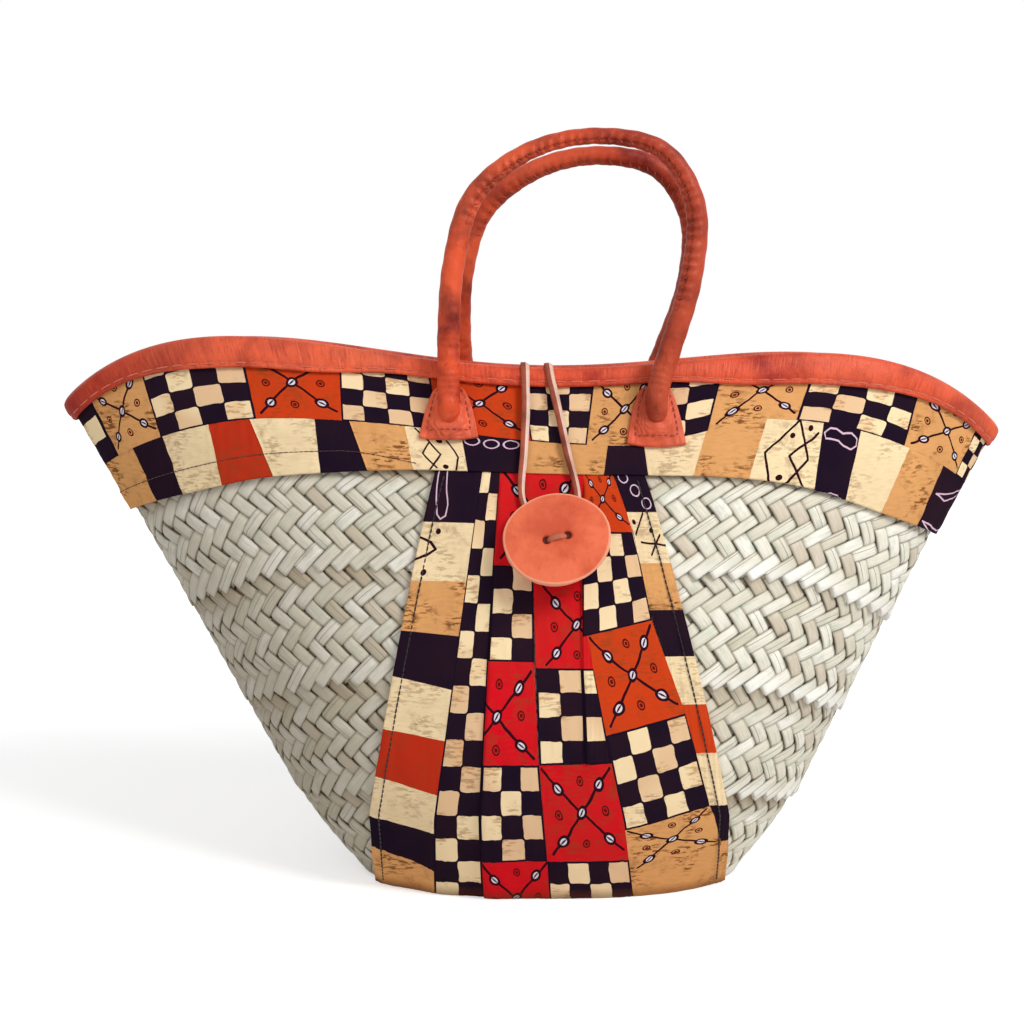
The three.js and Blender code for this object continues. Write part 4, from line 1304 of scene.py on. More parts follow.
def panel_patches():
    patches = []
    for motif, (hem_top, top), (hem_low, low) in LEFT_EDGE_PATCHES:
        seam = ((left_column(top), top), (left_column(low), low))
        patches.append((motif, ((-PANEL_EDGE, hem_top), *seam, (-PANEL_EDGE, hem_low))))
    for motif, top, low in RIGHT_EDGE_PATCHES:
        patches.append((motif, (top, (PANEL_EDGE, top[1]), (PANEL_EDGE, low[1]), low)))
    top = PANEL_TOP
    end = PANEL_END
    fold = {level: (LEFT_FOLD, level) for level in (top, 0.21, 0.422, 0.655, 0.90, end)}
    crease = {level: (right_fold(level), level) for level in (0.13, 0.21, 0.365, 0.435, 0.65)}
    seam_levels = (MIDDLE_SEAM_FROM, 0.435, 0.585, 0.65, 0.82, 0.90, 0.94, end)
    seam = {level: (middle_seam(level), level) for level in seam_levels}
    start = seam[MIDDLE_SEAM_FROM]
    crease_top = (right_fold(0), top)
    return patches + [
        ("checks", ((left_column(top), top), fold[top], fold[end], (left_column(end), end)), 2, 17),
        ("shells_red", (fold[top], crease_top, crease[0.21], fold[0.21])),
        ("checks", (fold[0.21], (-0.08, 0.21), (-0.08, 0.422), fold[0.422]), 2, 4),
        ("left_shells", (fold[0.422], (-0.08, 0.422), (-0.06, 0.655), fold[0.655])),
        ("dark_checks", (fold[0.655], (-0.06, 0.655), (-0.02, 0.90), fold[0.90]), 3, 4),
        ("low_shells", (fold[0.90], (-0.02, 0.90), (-0.01, end), fold[end])),
        ("right_shells", ((-0.08, 0.21), crease[0.21], crease[0.435], (-0.07, 0.435))),
        ("checks", ((-0.07, 0.435), crease[0.435], crease[0.65], (-0.055, 0.655)), 2, 4),
        ("red", (crease[0.365], start, seam[0.435], crease[0.435])),
        ("dark_checks", (crease[0.435], seam[0.435], seam[0.65], crease[0.65]), 1, 4),
        ("shells_red", ((-0.055, 0.655), seam[0.65], seam[0.90], (-0.02, 0.90))),
        ("checks", ((-0.02, 0.90), seam[0.90], seam[end], (-0.01, end)), 4, 2),
        ("shells_orange", (crease_top, (0.69, top), (0.76, 0.13), crease[0.13])),
        ("dark_checks", (crease[0.13], (0.76, 0.13), (0.76, 0.328), crease[0.365]), 4, 4),
        ("shells_orange", (start, (0.76, 0.328), (0.86, 0.54), seam[0.585])),
        ("checks", (seam[0.585], (0.86, 0.54), (0.90, 0.77), seam[0.82]), 4, 4),
        ("shells_tan", (seam[0.82], (0.90, 0.77), (0.96, 0.88), seam[0.94])),
        ("tan", (seam[0.94], (0.96, 0.88), (0.96, end), seam[end])),
    ]


def make_panel():
    print_sheet = patchwork("panel_print", panel_surface, panel_patches())
    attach(print_sheet, "basket")
    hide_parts("cloth_front_panel")
    make_panel_stitches()


def stitched_line(name, line, outward, length, gap, width, height, material, sink=0.0, arch=0.0002):
    """Stitches of a length along a line of points, with a gap between them."""
    steps = np.linalg.norm(np.diff(line, axis=0), axis=1)
    count = max(2, int(steps.sum() / (length + gap)))
    along = np.concatenate([[0], np.cumsum(steps)]) / steps.sum()
    starts = (np.arange(count) + 0.08) / count
    ends = starts + length / (length + gap) / count

    def at(values, where):
        return np.stack([np.interp(where, along, values[:, k]) for k in range(3)], -1)

    normals = unit(at(outward, (starts + ends) / 2))
    low, high = (at(line, where) - normals * sink for where in (starts, ends))
    return stitches_mesh(name, low, high, normals, width, height, material, arch)


def surface_normal(points_of, u, v, side=FRONT):
    """Outward normal, on one side of the basket, of a surface given by a function of two numbers."""
    step = 1e-3
    along = points_of(u + step, v) - points_of(u - step, v)
    up = points_of(u, v + step) - points_of(u, v - step)
    normal = unit(np.cross(along, up))
    return normal * np.sign(normal[..., 1:2]) * side


def join_pieces(name, pieces):
    """Makes one object of several, which keeps the piece list short."""
    bpy.ops.object.select_all(action="DESELECT")
    for piece in pieces:
        piece.select_set(True)
    bpy.context.view_layer.objects.active = pieces[0]
    bpy.ops.object.join()
    pieces[0].name = name
    return pieces[0]


def make_panel_stitches():
    fall = np.linspace(*HEM_THREAD_FALLS, 160)
    lines = []
    for hand in (-1, 1):
        across = hand * (1 - HEM_THREAD_INSET / half_width(fall))
        line = panel_surface(across, fall)
        outward = surface_normal(panel_surface, across, fall)
        lines.append(stitched_line(f"hem_{hand}", line, outward, *HEM_STITCH, BLACK_THREAD))
    seams = join_pieces("panel_hem_stitches", lines)
    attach(seams, "basket")


def make_band_tuck():
    """A dark line along the edge of the band's hem fold, on the left half where the fold shows: painted
    shade of the fold, made as a sunk thread.
    """
    angle = np.linspace(*TUCK_SHADE_ANGLES, 200)
    split = row_split(wall_point(angle, BAND_READ_SHARE, CLOTH_OUT)[..., 0])
    line = band_surface(angle, tuck_level(angle) / split)
    outward = wall_normal(angle, share_from_rim(angle, TUCK_SHADE_DROP))
    tuck = stitched_line("band_tuck_shade_line", line, outward, *TUCK_SHADE_STROKES, TUCK_SHADE_LINE, -0.0001, 0.0)
    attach(tuck, "basket")


# Stitches: length, gap, width and height.
HEM_STITCH = (0.0034, 0.0, 0.0010, 0.0007)
# The painted shade line along the band's hem fold, drawn as one unbroken stitch.
TUCK_SHADE_STROKES = (0.0030, 0.0, 0.0005, 0.0005)
HEM_THREAD_INSET = HEM_INSET - 0.0006
HEM_THREAD_FALLS = (0.012, 0.99)
TUCK_SHADE_ANGLES = (-math.pi - 0.6, -math.pi / 2 - 0.28)
TUCK_SHADE_DROP = -0.06

make_band()
make_band_tuck()
make_panel()


# The rim binding: one strip of leather folded over the edge, with a running stitch near its low edge.

BINDING_MIDDLE = (BINDING_OUTER + BINDING_INSIDE) / 2
BINDING_HALF = (BINDING_OUTER - BINDING_INSIDE) / 2
STITCH_FROM_EDGE = 0.0024
RIM_STITCH = (0.0082, 0.0016, 0.0009, 0.0008)
GROOVE_DEPTH = 0.00045
GROOVE_WIDTH = 0.0009
BUMP_RISE = 0.00026
CREASE_DEPTH = 0.00042
FULLNESS = 0.0011


def binding_section():
    """Rows (out, above, share) round the folded strip. A row lies at above less share of the height."""
    outline = [(BINDING_INNER, 0, 0), (BINDING_INNER, 0.0006, 1), (BINDING_INNER + 0.0005, 0, 1)]
    outline += [(BINDING_OUTER - 0.0006, 0, 1), (BINDING_OUTER, 0.0007, 1)]
    rows_at_stitches = (0.0012, 0.0016, 0.0020, 0.0024, 0.0028, 0.0033, 0.0040)
    outline += [(BINDING_OUTER, above, 1) for above in rows_at_stitches]
    outline += [(BINDING_OUTER, 0.0040 * share, share) for share in (0.85, 0.7, 0.5, 0.3, 0.12)]
    for turn in np.linspace(0, math.pi, 15):
        out = BINDING_MIDDLE + BINDING_HALF * math.cos(turn)
        outline.append((out, BINDING_CROWN * math.sin(turn), 0))
    outline += [(BINDING_INSIDE, 0, share) for share in (0.3, 0.6, 0.77, 0.9)]
    outline += [(BINDING_INSIDE, 0.0006, 1), (BINDING_INSIDE + 0.0005, 0, 1)]
    outline += [(BINDING_INSIDE + 0.002, 0, 1), (BINDING_INSIDE + 0.002, 0, 0)]
    return np.array(outline)


def leather_swell(angle, above):
    """Small unevenness of the folded strip: soft bumps, upright creases and the stitches' groove."""
    height = binding_height(angle)
    from_edge = above + height
    face = smooth(from_edge / 0.002) * (1 - smooth(above / BINDING_CROWN))
    groove = GROOVE_DEPTH * np.exp(-(((from_edge - STITCH_FROM_EDGE) / GROOVE_WIDTH) ** 2))
    bumps = BUMP_RISE * np.sin(angle * 23 + np.sin(angle * 7) * 3 + above * 160)
    creased = smooth((np.cos(angle * 3.1 + 0.4) - 0.2) / 0.5)
    crease = np.maximum(0, np.sin(angle * 190 + 4 * np.sin(angle * 31) + above * 90)) ** 6
    full = FULLNESS * np.sin(math.pi * np.clip(from_edge / (height + BINDING_CROWN), 0, 1))
    return face * (bumps - CREASE_DEPTH * creased * crease - groove + full)


def binding_point(angle, out, above):
    outer = np.where(out > BINDING_MIDDLE, 1.0, 0.0)
    return wall_point(angle, share_from_rim(angle, above), out + leather_swell(angle, above) * outer)


def make_binding():
    angle = np.linspace(-math.pi, math.pi, 1500, endpoint=False)
    out, above, low = binding_section().T
    levels = above[None, :] - low[None, :] * binding_height(angle)[:, None]
    points = binding_point(angle[:, None], out[None, :], levels)
    faces = grid_faces(len(angle), len(out), wrap_rows=True, wrap_columns=True)
    uv = np.stack(np.broadcast_arrays(angle[:, None], levels), -1).reshape(-1, 2)
    binding = make_mesh("rim_leather_strip", points, faces, {"strip": uv}, [RIM_LEATHER])
    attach(binding, "basket")
    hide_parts("rim_binding")
    turn = np.linspace(-math.pi, math.pi, 1400)
    level = STITCH_FROM_EDGE - binding_height(turn)
    for place, face, hand in (("outside", BINDING_OUTER, 1), ("inside", BINDING_INSIDE, -1)):
        line = binding_point(turn, face, level)
        outward = wall_normal(turn, share_from_rim(turn, level)) * hand
        stitches = stitched_line(f"rim_stitches_{place}", line, outward, *RIM_STITCH, RIM_THREAD)
        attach(stitches, "basket")


# Handles and the pads that their ends run into.

PIVOT_OUT = 0.0165
PIVOT_HEIGHT = PAD_TOP - 0.008
# Where the leather runs from the pivot into the pad: how far below it and how far out.
NOSE = ((-0.0028, 0.0154), (-0.0058, 0.0130), (-0.0088, 0.0100), (-0.0112, 0.0078))
HANDLE_LENGTH = 0.42
SEAM_TURN = math.radians(40)
SEAM_HALF_WIDTH = 0.30
SEAM_LEAN = 0.0011
SEAM_PITCH = 0.0058
GATHER_HEIGHT = 0.00072
SEAM_DEPTH = 0.0011
SKIN_FOLD = 0.00016
SKIN_ROUGHNESS = 0.00012
# The handle's thinning over its top and its round ends, as shares of its length.
APEX_REACH = 0.17
END_REACH = 0.030
# The hand-sewn seam runs between these shares of the handle's length.
SEAM_FROM = 0.26
SEAM_TO = 0.80
HANDLE_SIDES = 44
HANDLE_STATIONS = 520
SEAM_STITCH = (0.0009, 0.0008)
SEAM_STITCH_LIFT = 0.0001
BACK_SEAM_SHARE = 0.45
BACK_HANDLE_FULLER = 0.0012
BACK_HANDLE_SPREAD = 0.004
INWARD = (0.0, -1.0, 0.0)


def leg_x(side, hand):
    return hand * HANDLE_HALF_SPAN + (BACK_HANDLE_SHIFT if side == BACK else 0)


def handle_pivot(side):
    legs = [wall_at(side, leg_x(side, hand), PIVOT_HEIGHT, PIVOT_OUT) for hand in (-1, 1)]
    return (legs[0] + legs[1]) / 2


def handle_line(side):
    foot = handle_pivot(side)
    shift = BACK_HANDLE_SHIFT if side == BACK else 0
    wider = BACK_HANDLE_SPREAD if side == BACK else 0
    arch = []
    for across, rise in HANDLE_SHARES:
        height = rise * HANDLE_RISE
        spread = wider * math.sin(math.pi * min(1.0, rise))
        x = shift + HANDLE_HALF_SPAN * across + math.copysign(spread, across)
        y = foot[1] - side * height * math.sin(HANDLE_LEAN)
        arch.append((x, y, foot[2] + height * math.cos(HANDLE_LEAN)))
    heights, outs = np.array(NOSE).T
    left, right = (wall_at(side, leg_x(side, hand), PIVOT_HEIGHT + heights, outs) for hand in (-1, 1))
    return even_line(spline([*left[::-1], *arch, *right]), HANDLE_STATIONS)


def handle_radius(share):
    """Radius along the handle: full on the legs, less over the top, round at both ends."""
    middle = np.exp(-(((share - 0.5) / APEX_REACH) ** 2))
    body = lerp(HANDLE_RADIUS, HANDLE_APEX_RADIUS, middle)
    end = np.minimum(share, 1 - share) / END_REACH
    return body * np.sqrt(np.clip(1 - (1 - np.clip(end, 0.03, 1)) ** 2, 0, 1))


def seam_window(share):
    """1 where the handle's seam shows, and 0 on the legs below it."""
    return smooth((share - SEAM_FROM) / 0.05) * (1 - smooth((share - SEAM_TO) / 0.06))


def handle_skin(side, share, turn):
    """Radius of the leather at a place along and round the handle, with the gathers beside its seam."""
    along = share * HANDLE_LENGTH
    beside = np.angle(np.exp(1j * (turn - SEAM_TURN)))
    window = seam_window(share) * (1 if side == FRONT else BACK_SEAM_SHARE)
    gather = np.sin(2 * math.pi * along / SEAM_PITCH + 0.8 * np.sin(along * 310))
    pucker = GATHER_HEIGHT * gather * np.exp(-((beside / 0.75) ** 2))
    groove = SEAM_DEPTH * np.exp(-((beside / 0.13) ** 2))
    fold = np.sin(along * 1400 + 2 * np.sin(along * 240) + 1.4 * np.cos(turn))
    fold = fold * smooth((abs(share - 0.5) - 0.34) / 0.1) * (0.6 + 0.4 * np.cos(turn - 0.6))
    rough = SKIN_ROUGHNESS * np.sin(turn * 3 + along * 500) + SKIN_FOLD * fold
    fuller = BACK_HANDLE_FULLER * np.sin(math.pi * share) ** 2 if side == BACK else 0.0
    uneven = window * (pucker - groove) + rough
    return handle_radius(share) + fuller + uneven * smooth(np.minimum(share, 1 - share) / 0.02)


def make_handle(side, place):
    line = handle_line(side)
    share = np.linspace(0, 1, len(line))
    turn = np.linspace(0, 2 * math.pi, HANDLE_SIDES, endpoint=False)
    radius = handle_skin(side, share[:, None], turn)

    def section(i):
        return np.stack([radius[i] * np.sin(turn), radius[i] * np.cos(turn)], -1)

    rings = sweep(line, INWARD, section)
    handle = closed_sweep_mesh(f"{place}_handle_leather", rings, HANDLE_LEATHER)
    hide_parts(f"{place}_handle_sleeve", f"{place}_handle_core")
    _, y, z = handle_pivot(side)
    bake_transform(handle)
    window = seam_window(share)
    count = int(window.sum() / len(share) * HANDLE_LENGTH / SEAM_PITCH)
    inside = share[window > 0.3]
    spots = np.interp(np.linspace(inside[0], inside[-1], count), share, np.arange(len(line))).astype(int)
    tangent, normals, sides = (values[spots] for values in frames_along(line, INWARD))
    reach = radius[spots].mean(axis=1)[:, None] + SEAM_STITCH_LIFT
    ends = []
    for hand in (-1, 1):
        where = SEAM_TURN + hand * SEAM_HALF_WIDTH
        out = sides * math.sin(where) + normals * math.cos(where)
        ends.append(line[spots] + out * reach + tangent * SEAM_LEAN * hand)
    outward = sides * math.sin(SEAM_TURN) + normals * math.cos(SEAM_TURN)
    seam = stitches_mesh(
        f"{place}_handle_seam", *ends, outward, *SEAM_STITCH, PAD_THREAD, -SEAM_STITCH_LIFT
    )
    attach(seam, f"{place}_handle")


# The pad: its swelling under the handle's nose, the ripples round it and the groove inside its edge.

PAD_SWELL = 0.0044
PAD_SWELL_FROM = 0.0050
PAD_SWELL_REACH = 0.0052
PAD_RIPPLE = 0.00042
PAD_RIPPLE_PITCH = 0.0024
PAD_GROOVE = 0.0004
PAD_GROOVE_INSET = 0.0036
PAD_ROUND_FOOT = 0.0016
PAD_UNEVEN = 0.0002
PAD_ROWS = 47
PAD_COLUMNS = 61
PAD_STITCH = (0.0030, 0.0008, 0.0008, 0.0007)
PAD_STITCH_PATH = ((-0.80, 0.0, 0.0), (-0.80, 0.84, 0.0), (0.80, 0.84, 0.0), (0.80, 0.0, 0.0))
# The pad's cut edge: how far each row lies beyond its outline and below its face.
PAD_EDGE = ((0.0004, 0.0005), (0.0005, 0.0014), (0.0003, 0.0022))


def pad_point(side, hand, across, fall):
    """A place on the pad's face. across is -1 to 1, fall is 0 at its top and 1 at its foot."""
    half = lerp(PAD_NECK_WIDTH, PAD_FOOT_WIDTH, np.maximum(fall, 1e-4) ** 0.55) / 2
    drop = PAD_EXTRA_DROP if side == FRONT and hand > 0 else 0.0
    height = PAD_TOP - fall * (PAD_HEIGHT + drop) + PAD_ROUND_FOOT * across**2 * fall
    u = across * half
    below = np.maximum(0, PIVOT_HEIGHT + NOSE[-1][0] + 0.002 - height)
    from_nose = np.hypot(u, below)
    swell = PAD_SWELL * np.exp(-((np.maximum(0, from_nose - PAD_SWELL_FROM) / PAD_SWELL_REACH) ** 2))
    swing = 0.0009 * np.sin(u * 520 + hand) + 0.0006 * np.sin(height * 900 + u * 300)
    ripple = PAD_RIPPLE * np.sin((from_nose + swing) * 2 * math.pi / PAD_RIPPLE_PITCH)
    ripple *= np.exp(-((np.maximum(0, from_nose - 0.008) / 0.0042) ** 2))
    ripple *= smooth((from_nose - 0.005) / 0.002)
    groove = PAD_GROOVE * np.exp(-(((half - np.abs(u) - PAD_GROOVE_INSET) / 0.0008) ** 2))
    out = PAD_OUT + swell + ripple - groove + PAD_UNEVEN * np.sin(u * 700 + height * 400)
    return wall_at(side, leg_x(side, hand) + u, height, out)


def border_of(grid):
    """The outer places of a grid, once round."""
    return np.concatenate([grid[0, :-1], grid[:-1, -1], grid[-1, :0:-1], grid[:0:-1, 0]])


def make_pad(side, hand, name):
    grid = np.meshgrid(np.linspace(-1, 1, PAD_COLUMNS), np.linspace(0, 1, PAD_ROWS))
    face = pad_point(side, hand, *grid)

    def inner_face(x, height):
        return wall_at(side, x, height, 0.0)

    outward = surface_normal(inner_face, leg_x(side, hand), PAD_TOP - PAD_HEIGHT / 2, side)
    rim = border_of(face)
    spread = rim - face.mean(axis=(0, 1))
    spread = unit(spread - (spread @ outward)[:, None] * outward)
    rows = [rim + spread * beyond - outward * below for beyond, below in PAD_EDGE]
    index = np.arange(face[..., 0].size).reshape(face.shape[:2])
    faces = [grid_faces(*index.shape)]
    previous = border_of(index)
    for row in range(len(PAD_EDGE)):
        current = np.arange(len(rim)) + index.size + row * len(rim)
        faces.append(np.stack([previous, current, np.roll(current, -1), np.roll(previous, -1)], -1))
        previous = current
    points = np.concatenate([face.reshape(-1, 3), *rows])
    pad = make_mesh(name, points, np.concatenate(faces), None, [PAD_LEATHER])
    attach(pad, "basket")
    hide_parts(name.replace("_leather", ""))
    across, fall, _ = even_line(np.array(PAD_STITCH_PATH), 120).T
    line = pad_point(side, hand, across, fall)
    normals = np.broadcast_to(outward, line.shape)
    stitches = stitched_line(f"{name}_stitches", line, normals, *PAD_STITCH, PAD_THREAD)
    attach(stitches, "basket")


# The button, its neck and its knot.

BACKING_LOW = NECK_LENGTH + LAYER_GAP
FACE_LOW = BACKING_LOW + BACKING_THICKNESS + LAYER_GAP
FACE_TOP = FACE_LOW + FACE_THICKNESS
FACE_DOME = 0.0012
HOLE_DEPTH = 0.0022
HOLE_RADIUS = 0.0024
DISC_UNEVEN = 0.00025
DISC_STEPS = 60
# A profile's points on the axis lie just off it, so that the mesh stays whole.
AXIS_RADIUS = 0.0001
KNOT_SCALE = 0.00165
KNOT_BEHIND = 0.0036
KNOT_THONG_RADIUS = 0.0018
SHAFT_RADIUS = 0.0021
SHAFT_BEHIND = 0.003


def button_frame():
    """The button's middle at the wall, its tilt, that with its twist, and the wall's normal."""
    angle, share = wall_place(FRONT, BUTTON_X, BUTTON_HEIGHT_UP)
    normal = wall_normal(angle, share)
    centre = wall_point(angle, share, PANEL_OUTER + LAYER_GAP + NECK_RADIUS)
    tilt = Matrix.Rotation(math.pi / 2 - math.asin(normal[2]) - BUTTON_TILT, 3, "X")
    spun = tilt @ Matrix.Rotation(BUTTON_TWIST, 3, "Z")
    return centre, np.array(tilt), np.array(spun), normal


def turned_mesh(name, profile, turns, shape, material, extra=None):
    """A closed body from (radius, height) pairs. shape(radius, height, turn) gives points."""
    radius, height = np.array(profile).T[..., None]
    turn = np.linspace(0, 2 * math.pi, turns, endpoint=False)
    faces = grid_faces(len(profile), turns, wrap_columns=True)[:, ::-1]
    layers = {"skin": np.stack(np.broadcast_arrays(radius, turn), -1).reshape(-1, 2)}
    if extra:
        layers["cut"] = np.stack(extra(radius, turn), -1).reshape(-1, 2)
    return make_mesh(name, shape(radius, height, turn), faces, layers, [material])


def disc_profile(low, thickness, dome, radius):
    soft = thickness * 0.26
    half = (thickness - dome) / 2
    profile = [(AXIS_RADIUS, low), (radius * 0.5, low), (radius - soft, low)]
    for turn in np.linspace(-math.pi / 2, math.pi / 2, 9):
        profile.append((radius - soft + soft * math.cos(turn), low + half + half * math.sin(turn)))
    for share in np.linspace(1, 0, DISC_STEPS)[1:]:
        profile.append((max((radius - soft) * share, AXIS_RADIUS), low + thickness - dome * share**2))
    return profile


def make_disc(name, part, low, thickness, dome, shrink, seed):
    """One of the button's two leather discs. The domed one has dents for holes, painted dark as shade,
    with pressed edges.
    """
    centre, _, spun, _ = button_frame()
    radius = BUTTON_WIDTH / 2 * shrink
    oval_share = BUTTON_HEIGHT / BUTTON_WIDTH

    def shape(r, z, turn):
        uneven = 1 + 0.008 * np.sin(3 * turn + seed) + 0.006 * np.sin(5 * turn + 2 * seed)
        x = r * np.cos(turn) * uneven
        y = r * np.sin(turn) * uneven * oval_share
        top = smooth((z - low) / thickness)
        lift = DISC_UNEVEN * np.sin(x * 160 + seed) * np.cos(y * 190 + seed)
        if dome > 0:
            for hand in (-1, 1):
                near = np.hypot(x - hand * TIE_SPACING / 2, y)
                lift = lift - HOLE_DEPTH * np.exp(-((near / HOLE_RADIUS) ** 4))
        return centre + np.stack([x, y, z + lift * top], -1) @ spun.T

    def cut(r, turn):
        """Distance from the cut rim and from the middle of the nearer hole."""
        along = np.abs(r * np.cos(turn)) - TIE_SPACING / 2
        hole = np.hypot(along, r * np.sin(turn) * oval_share)
        return np.broadcast_arrays(radius - r, hole if dome > 0 else hole + 1)

    disc = turned_mesh(name, disc_profile(low, thickness, dome, radius), 160, shape, BUTTON_LEATHER, cut)
    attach(disc, "button")
    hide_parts(part)


def make_tie():
    """The thong that comes up through one hole of the button and goes down through the other."""
    centre, _, spun, _ = button_frame()
    half = ((0.9, BACKING_LOW - FACE_TOP), (0.72, -0.0024), (0.60, -0.0006), (0.3, 0.0006))
    left = [(-share * TIE_SPACING / 2, 0, FACE_TOP + above) for share, above in half]
    right = [(-x, 0, height) for x, _, height in left[::-1]]
    line = even_line(spline([*left, (0, 0, FACE_TOP + 0.0008), *right]), 60)
    turn = np.linspace(0, 2 * math.pi, 16, endpoint=False)

    def section(i):
        wide = 1 + 0.25 * math.sin(math.pi * i / (len(line) - 1)) ** 2
        return np.stack([wide * np.sin(turn), 0.9 * np.cos(turn)], -1) * TIE_RADIUS

    rings = centre + sweep(line, (1, 0, 0), section) @ spun.T
    tie = closed_sweep_mesh("button_thong_tie", rings, TIE_LEATHER)
    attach(tie, "button")
    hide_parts("button_tie")


def make_neck():
    """The twisted thong under the button, with a round foot and a flare up to the button's holes."""
    centre, tilt, _, _ = button_frame()
    flare = TIE_SPACING / 2 + TIE_RADIUS
    profile = []
    for turn in np.linspace(math.pi / 2, 0, 8):
        profile.append((NECK_RADIUS * math.cos(turn), -NECK_RADIUS * math.sin(turn)))
    for share in np.linspace(0, 1, 24):
        profile.append((lerp(NECK_RADIUS, flare, smooth((share - 0.5) / 0.5)), NECK_LENGTH * share))
    profile.append((AXIS_RADIUS, NECK_LENGTH))

    def shape(r, z, turn):
        twisted = r * (1 + 0.10 * np.cos(2 * turn - z * 900) - 0.08)
        x, y, z = np.broadcast_arrays(twisted * np.cos(turn), twisted * np.sin(turn), z)
        return centre + np.stack([x, y, z], -1) @ tilt.T

    neck = turned_mesh("button_thong_neck", profile, 48, shape, THONG)
    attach(neck, "button_neck")
    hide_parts("button_neck")


def make_knot():
    """A trefoil of the thong behind the wall, and its shaft through the wall."""
    centre, _, _, normal = button_frame()
    base = centre - normal * (PANEL_OUTER + LAYER_GAP + NECK_RADIUS)
    turn = np.array(Vector((0, 0, 1)).rotation_difference(Vector(normal)).to_matrix())
    t = np.linspace(0, 2 * math.pi, 160, endpoint=False)
    loop = np.stack([np.sin(t) + 2 * np.sin(2 * t), np.cos(t) - 2 * np.cos(2 * t), -np.sin(3 * t)], -1)
    loop = loop * KNOT_SCALE - [0, 0, KNOT_BEHIND]
    around = np.linspace(0, 2 * math.pi, 14, endpoint=False)
    circle = np.stack([np.cos(around), np.sin(around)], -1)
    tangent = unit(np.roll(loop, -1, axis=0) - np.roll(loop, 1, axis=0))
    side = unit(np.cross(tangent, [0, 0, 1]))
    rings = loop[:, None] + circle @ np.stack([side, np.cross(side, tangent)], 1) * KNOT_THONG_RADIUS
    faces = grid_faces(len(t), len(around), wrap_rows=True, wrap_columns=True)
    uv = np.stack(np.meshgrid(around, t), -1).reshape(-1, 2)
    knot = make_mesh("button_thong_knot", base + rings @ turn.T, faces, {"skin": uv}, [THONG])
    shaft = np.array([(0, 0, z) for z in np.linspace(-SHAFT_BEHIND, PANEL_OUTER + 0.001, 12)])
    rings = sweep(shaft, (1, 0, 0), lambda i: circle * SHAFT_RADIUS)
    stem = closed_sweep_mesh("knot_shaft", base + rings @ turn.T, THONG)
    knot = join_pieces("button_thong_knot", [knot, stem])
    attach(knot, "basket")
    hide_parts("button_knot")


# The closure loop: one flat thong from the back rim over the front rim and round the button's neck.

LOOP_LIFT = LOOP_CLEARANCE + LOOP_THICKNESS / 2
LOOP_ANCHOR_LENGTH = 0.016
LOOP_ANCHOR_BEND_SHARE = 0.55
LOOP_LEAVE_SHARE = 0.12
LOOP_CROWN_DEGREES = (150, 110, 70, 35)
LOOP_DOWN_DEPTHS = (0.0054, 0.0126, 0.0189)
LOOP_BIGHT_DEGREES = (170, 215, 270, 325, 370)
LOOP_WALL_OUT = PANEL_OUTER + LOOP_LIFT
LOOP_CORNER = 0.0004
# The cut edge slants over these shares of the strap's width and half its thickness.
LOOP_CUT_WIDE = 0.42
LOOP_CUT_DEEP = 1.3
LOOP_NARROWING = 0.4
# The strap's sides that show the cut edge, on its first and second half.
EDGE_COLUMNS = ((3, 4), (0, 1))


def loop_strand(hand):
    x = LOOP_RIM_X + hand * LOOP_RIM_SPACING / 2
    spread_x = BUTTON_X + LOOP_SPREAD_SHIFT + hand * LOOP_SPREAD_X
    spread_height = BUTTON_HEIGHT_UP + LOOP_SPREAD_RISE

    def at(side, out, above):
        slant = max(0, -above) / (RIM_HEIGHT_CENTRE - spread_height) if side == FRONT else 0
        angle, _ = wall_place(side, lerp(x, spread_x, slant), RIM_HEIGHT_CENTRE)
        return wall_point(angle, share_from_rim(angle, above), out)

    behind = BINDING_INSIDE - LOOP_LIFT
    start = at(BACK, behind, -LOOP_ANCHOR_LENGTH)
    bend = at(BACK, behind, -LOOP_ANCHOR_BEND_SHARE * LOOP_ANCHOR_LENGTH)
    crown = []
    for degrees in LOOP_CROWN_DEGREES:
        turn = math.radians(degrees)
        out = BINDING_MIDDLE + (BINDING_HALF + LOOP_LIFT) * math.cos(turn)
        crown.append(at(FRONT, out, (BINDING_CROWN + LOOP_LIFT) * math.sin(turn)))
    rise = np.array([0, 0, BINDING_CROWN])
    leave = lerp(bend, crown[0], LOOP_LEAVE_SHARE) + rise
    across = lerp(bend, crown[0], 0.5) + rise
    down = [at(FRONT, BINDING_OUTER + LOOP_LIFT, -depth) for depth in LOOP_DOWN_DEPTHS]
    spread = wall_at(FRONT, spread_x, spread_height, LOOP_WALL_OUT)
    return [start, bend, leave, across, *crown, *down, lerp(down[-1], spread, 0.5), spread]


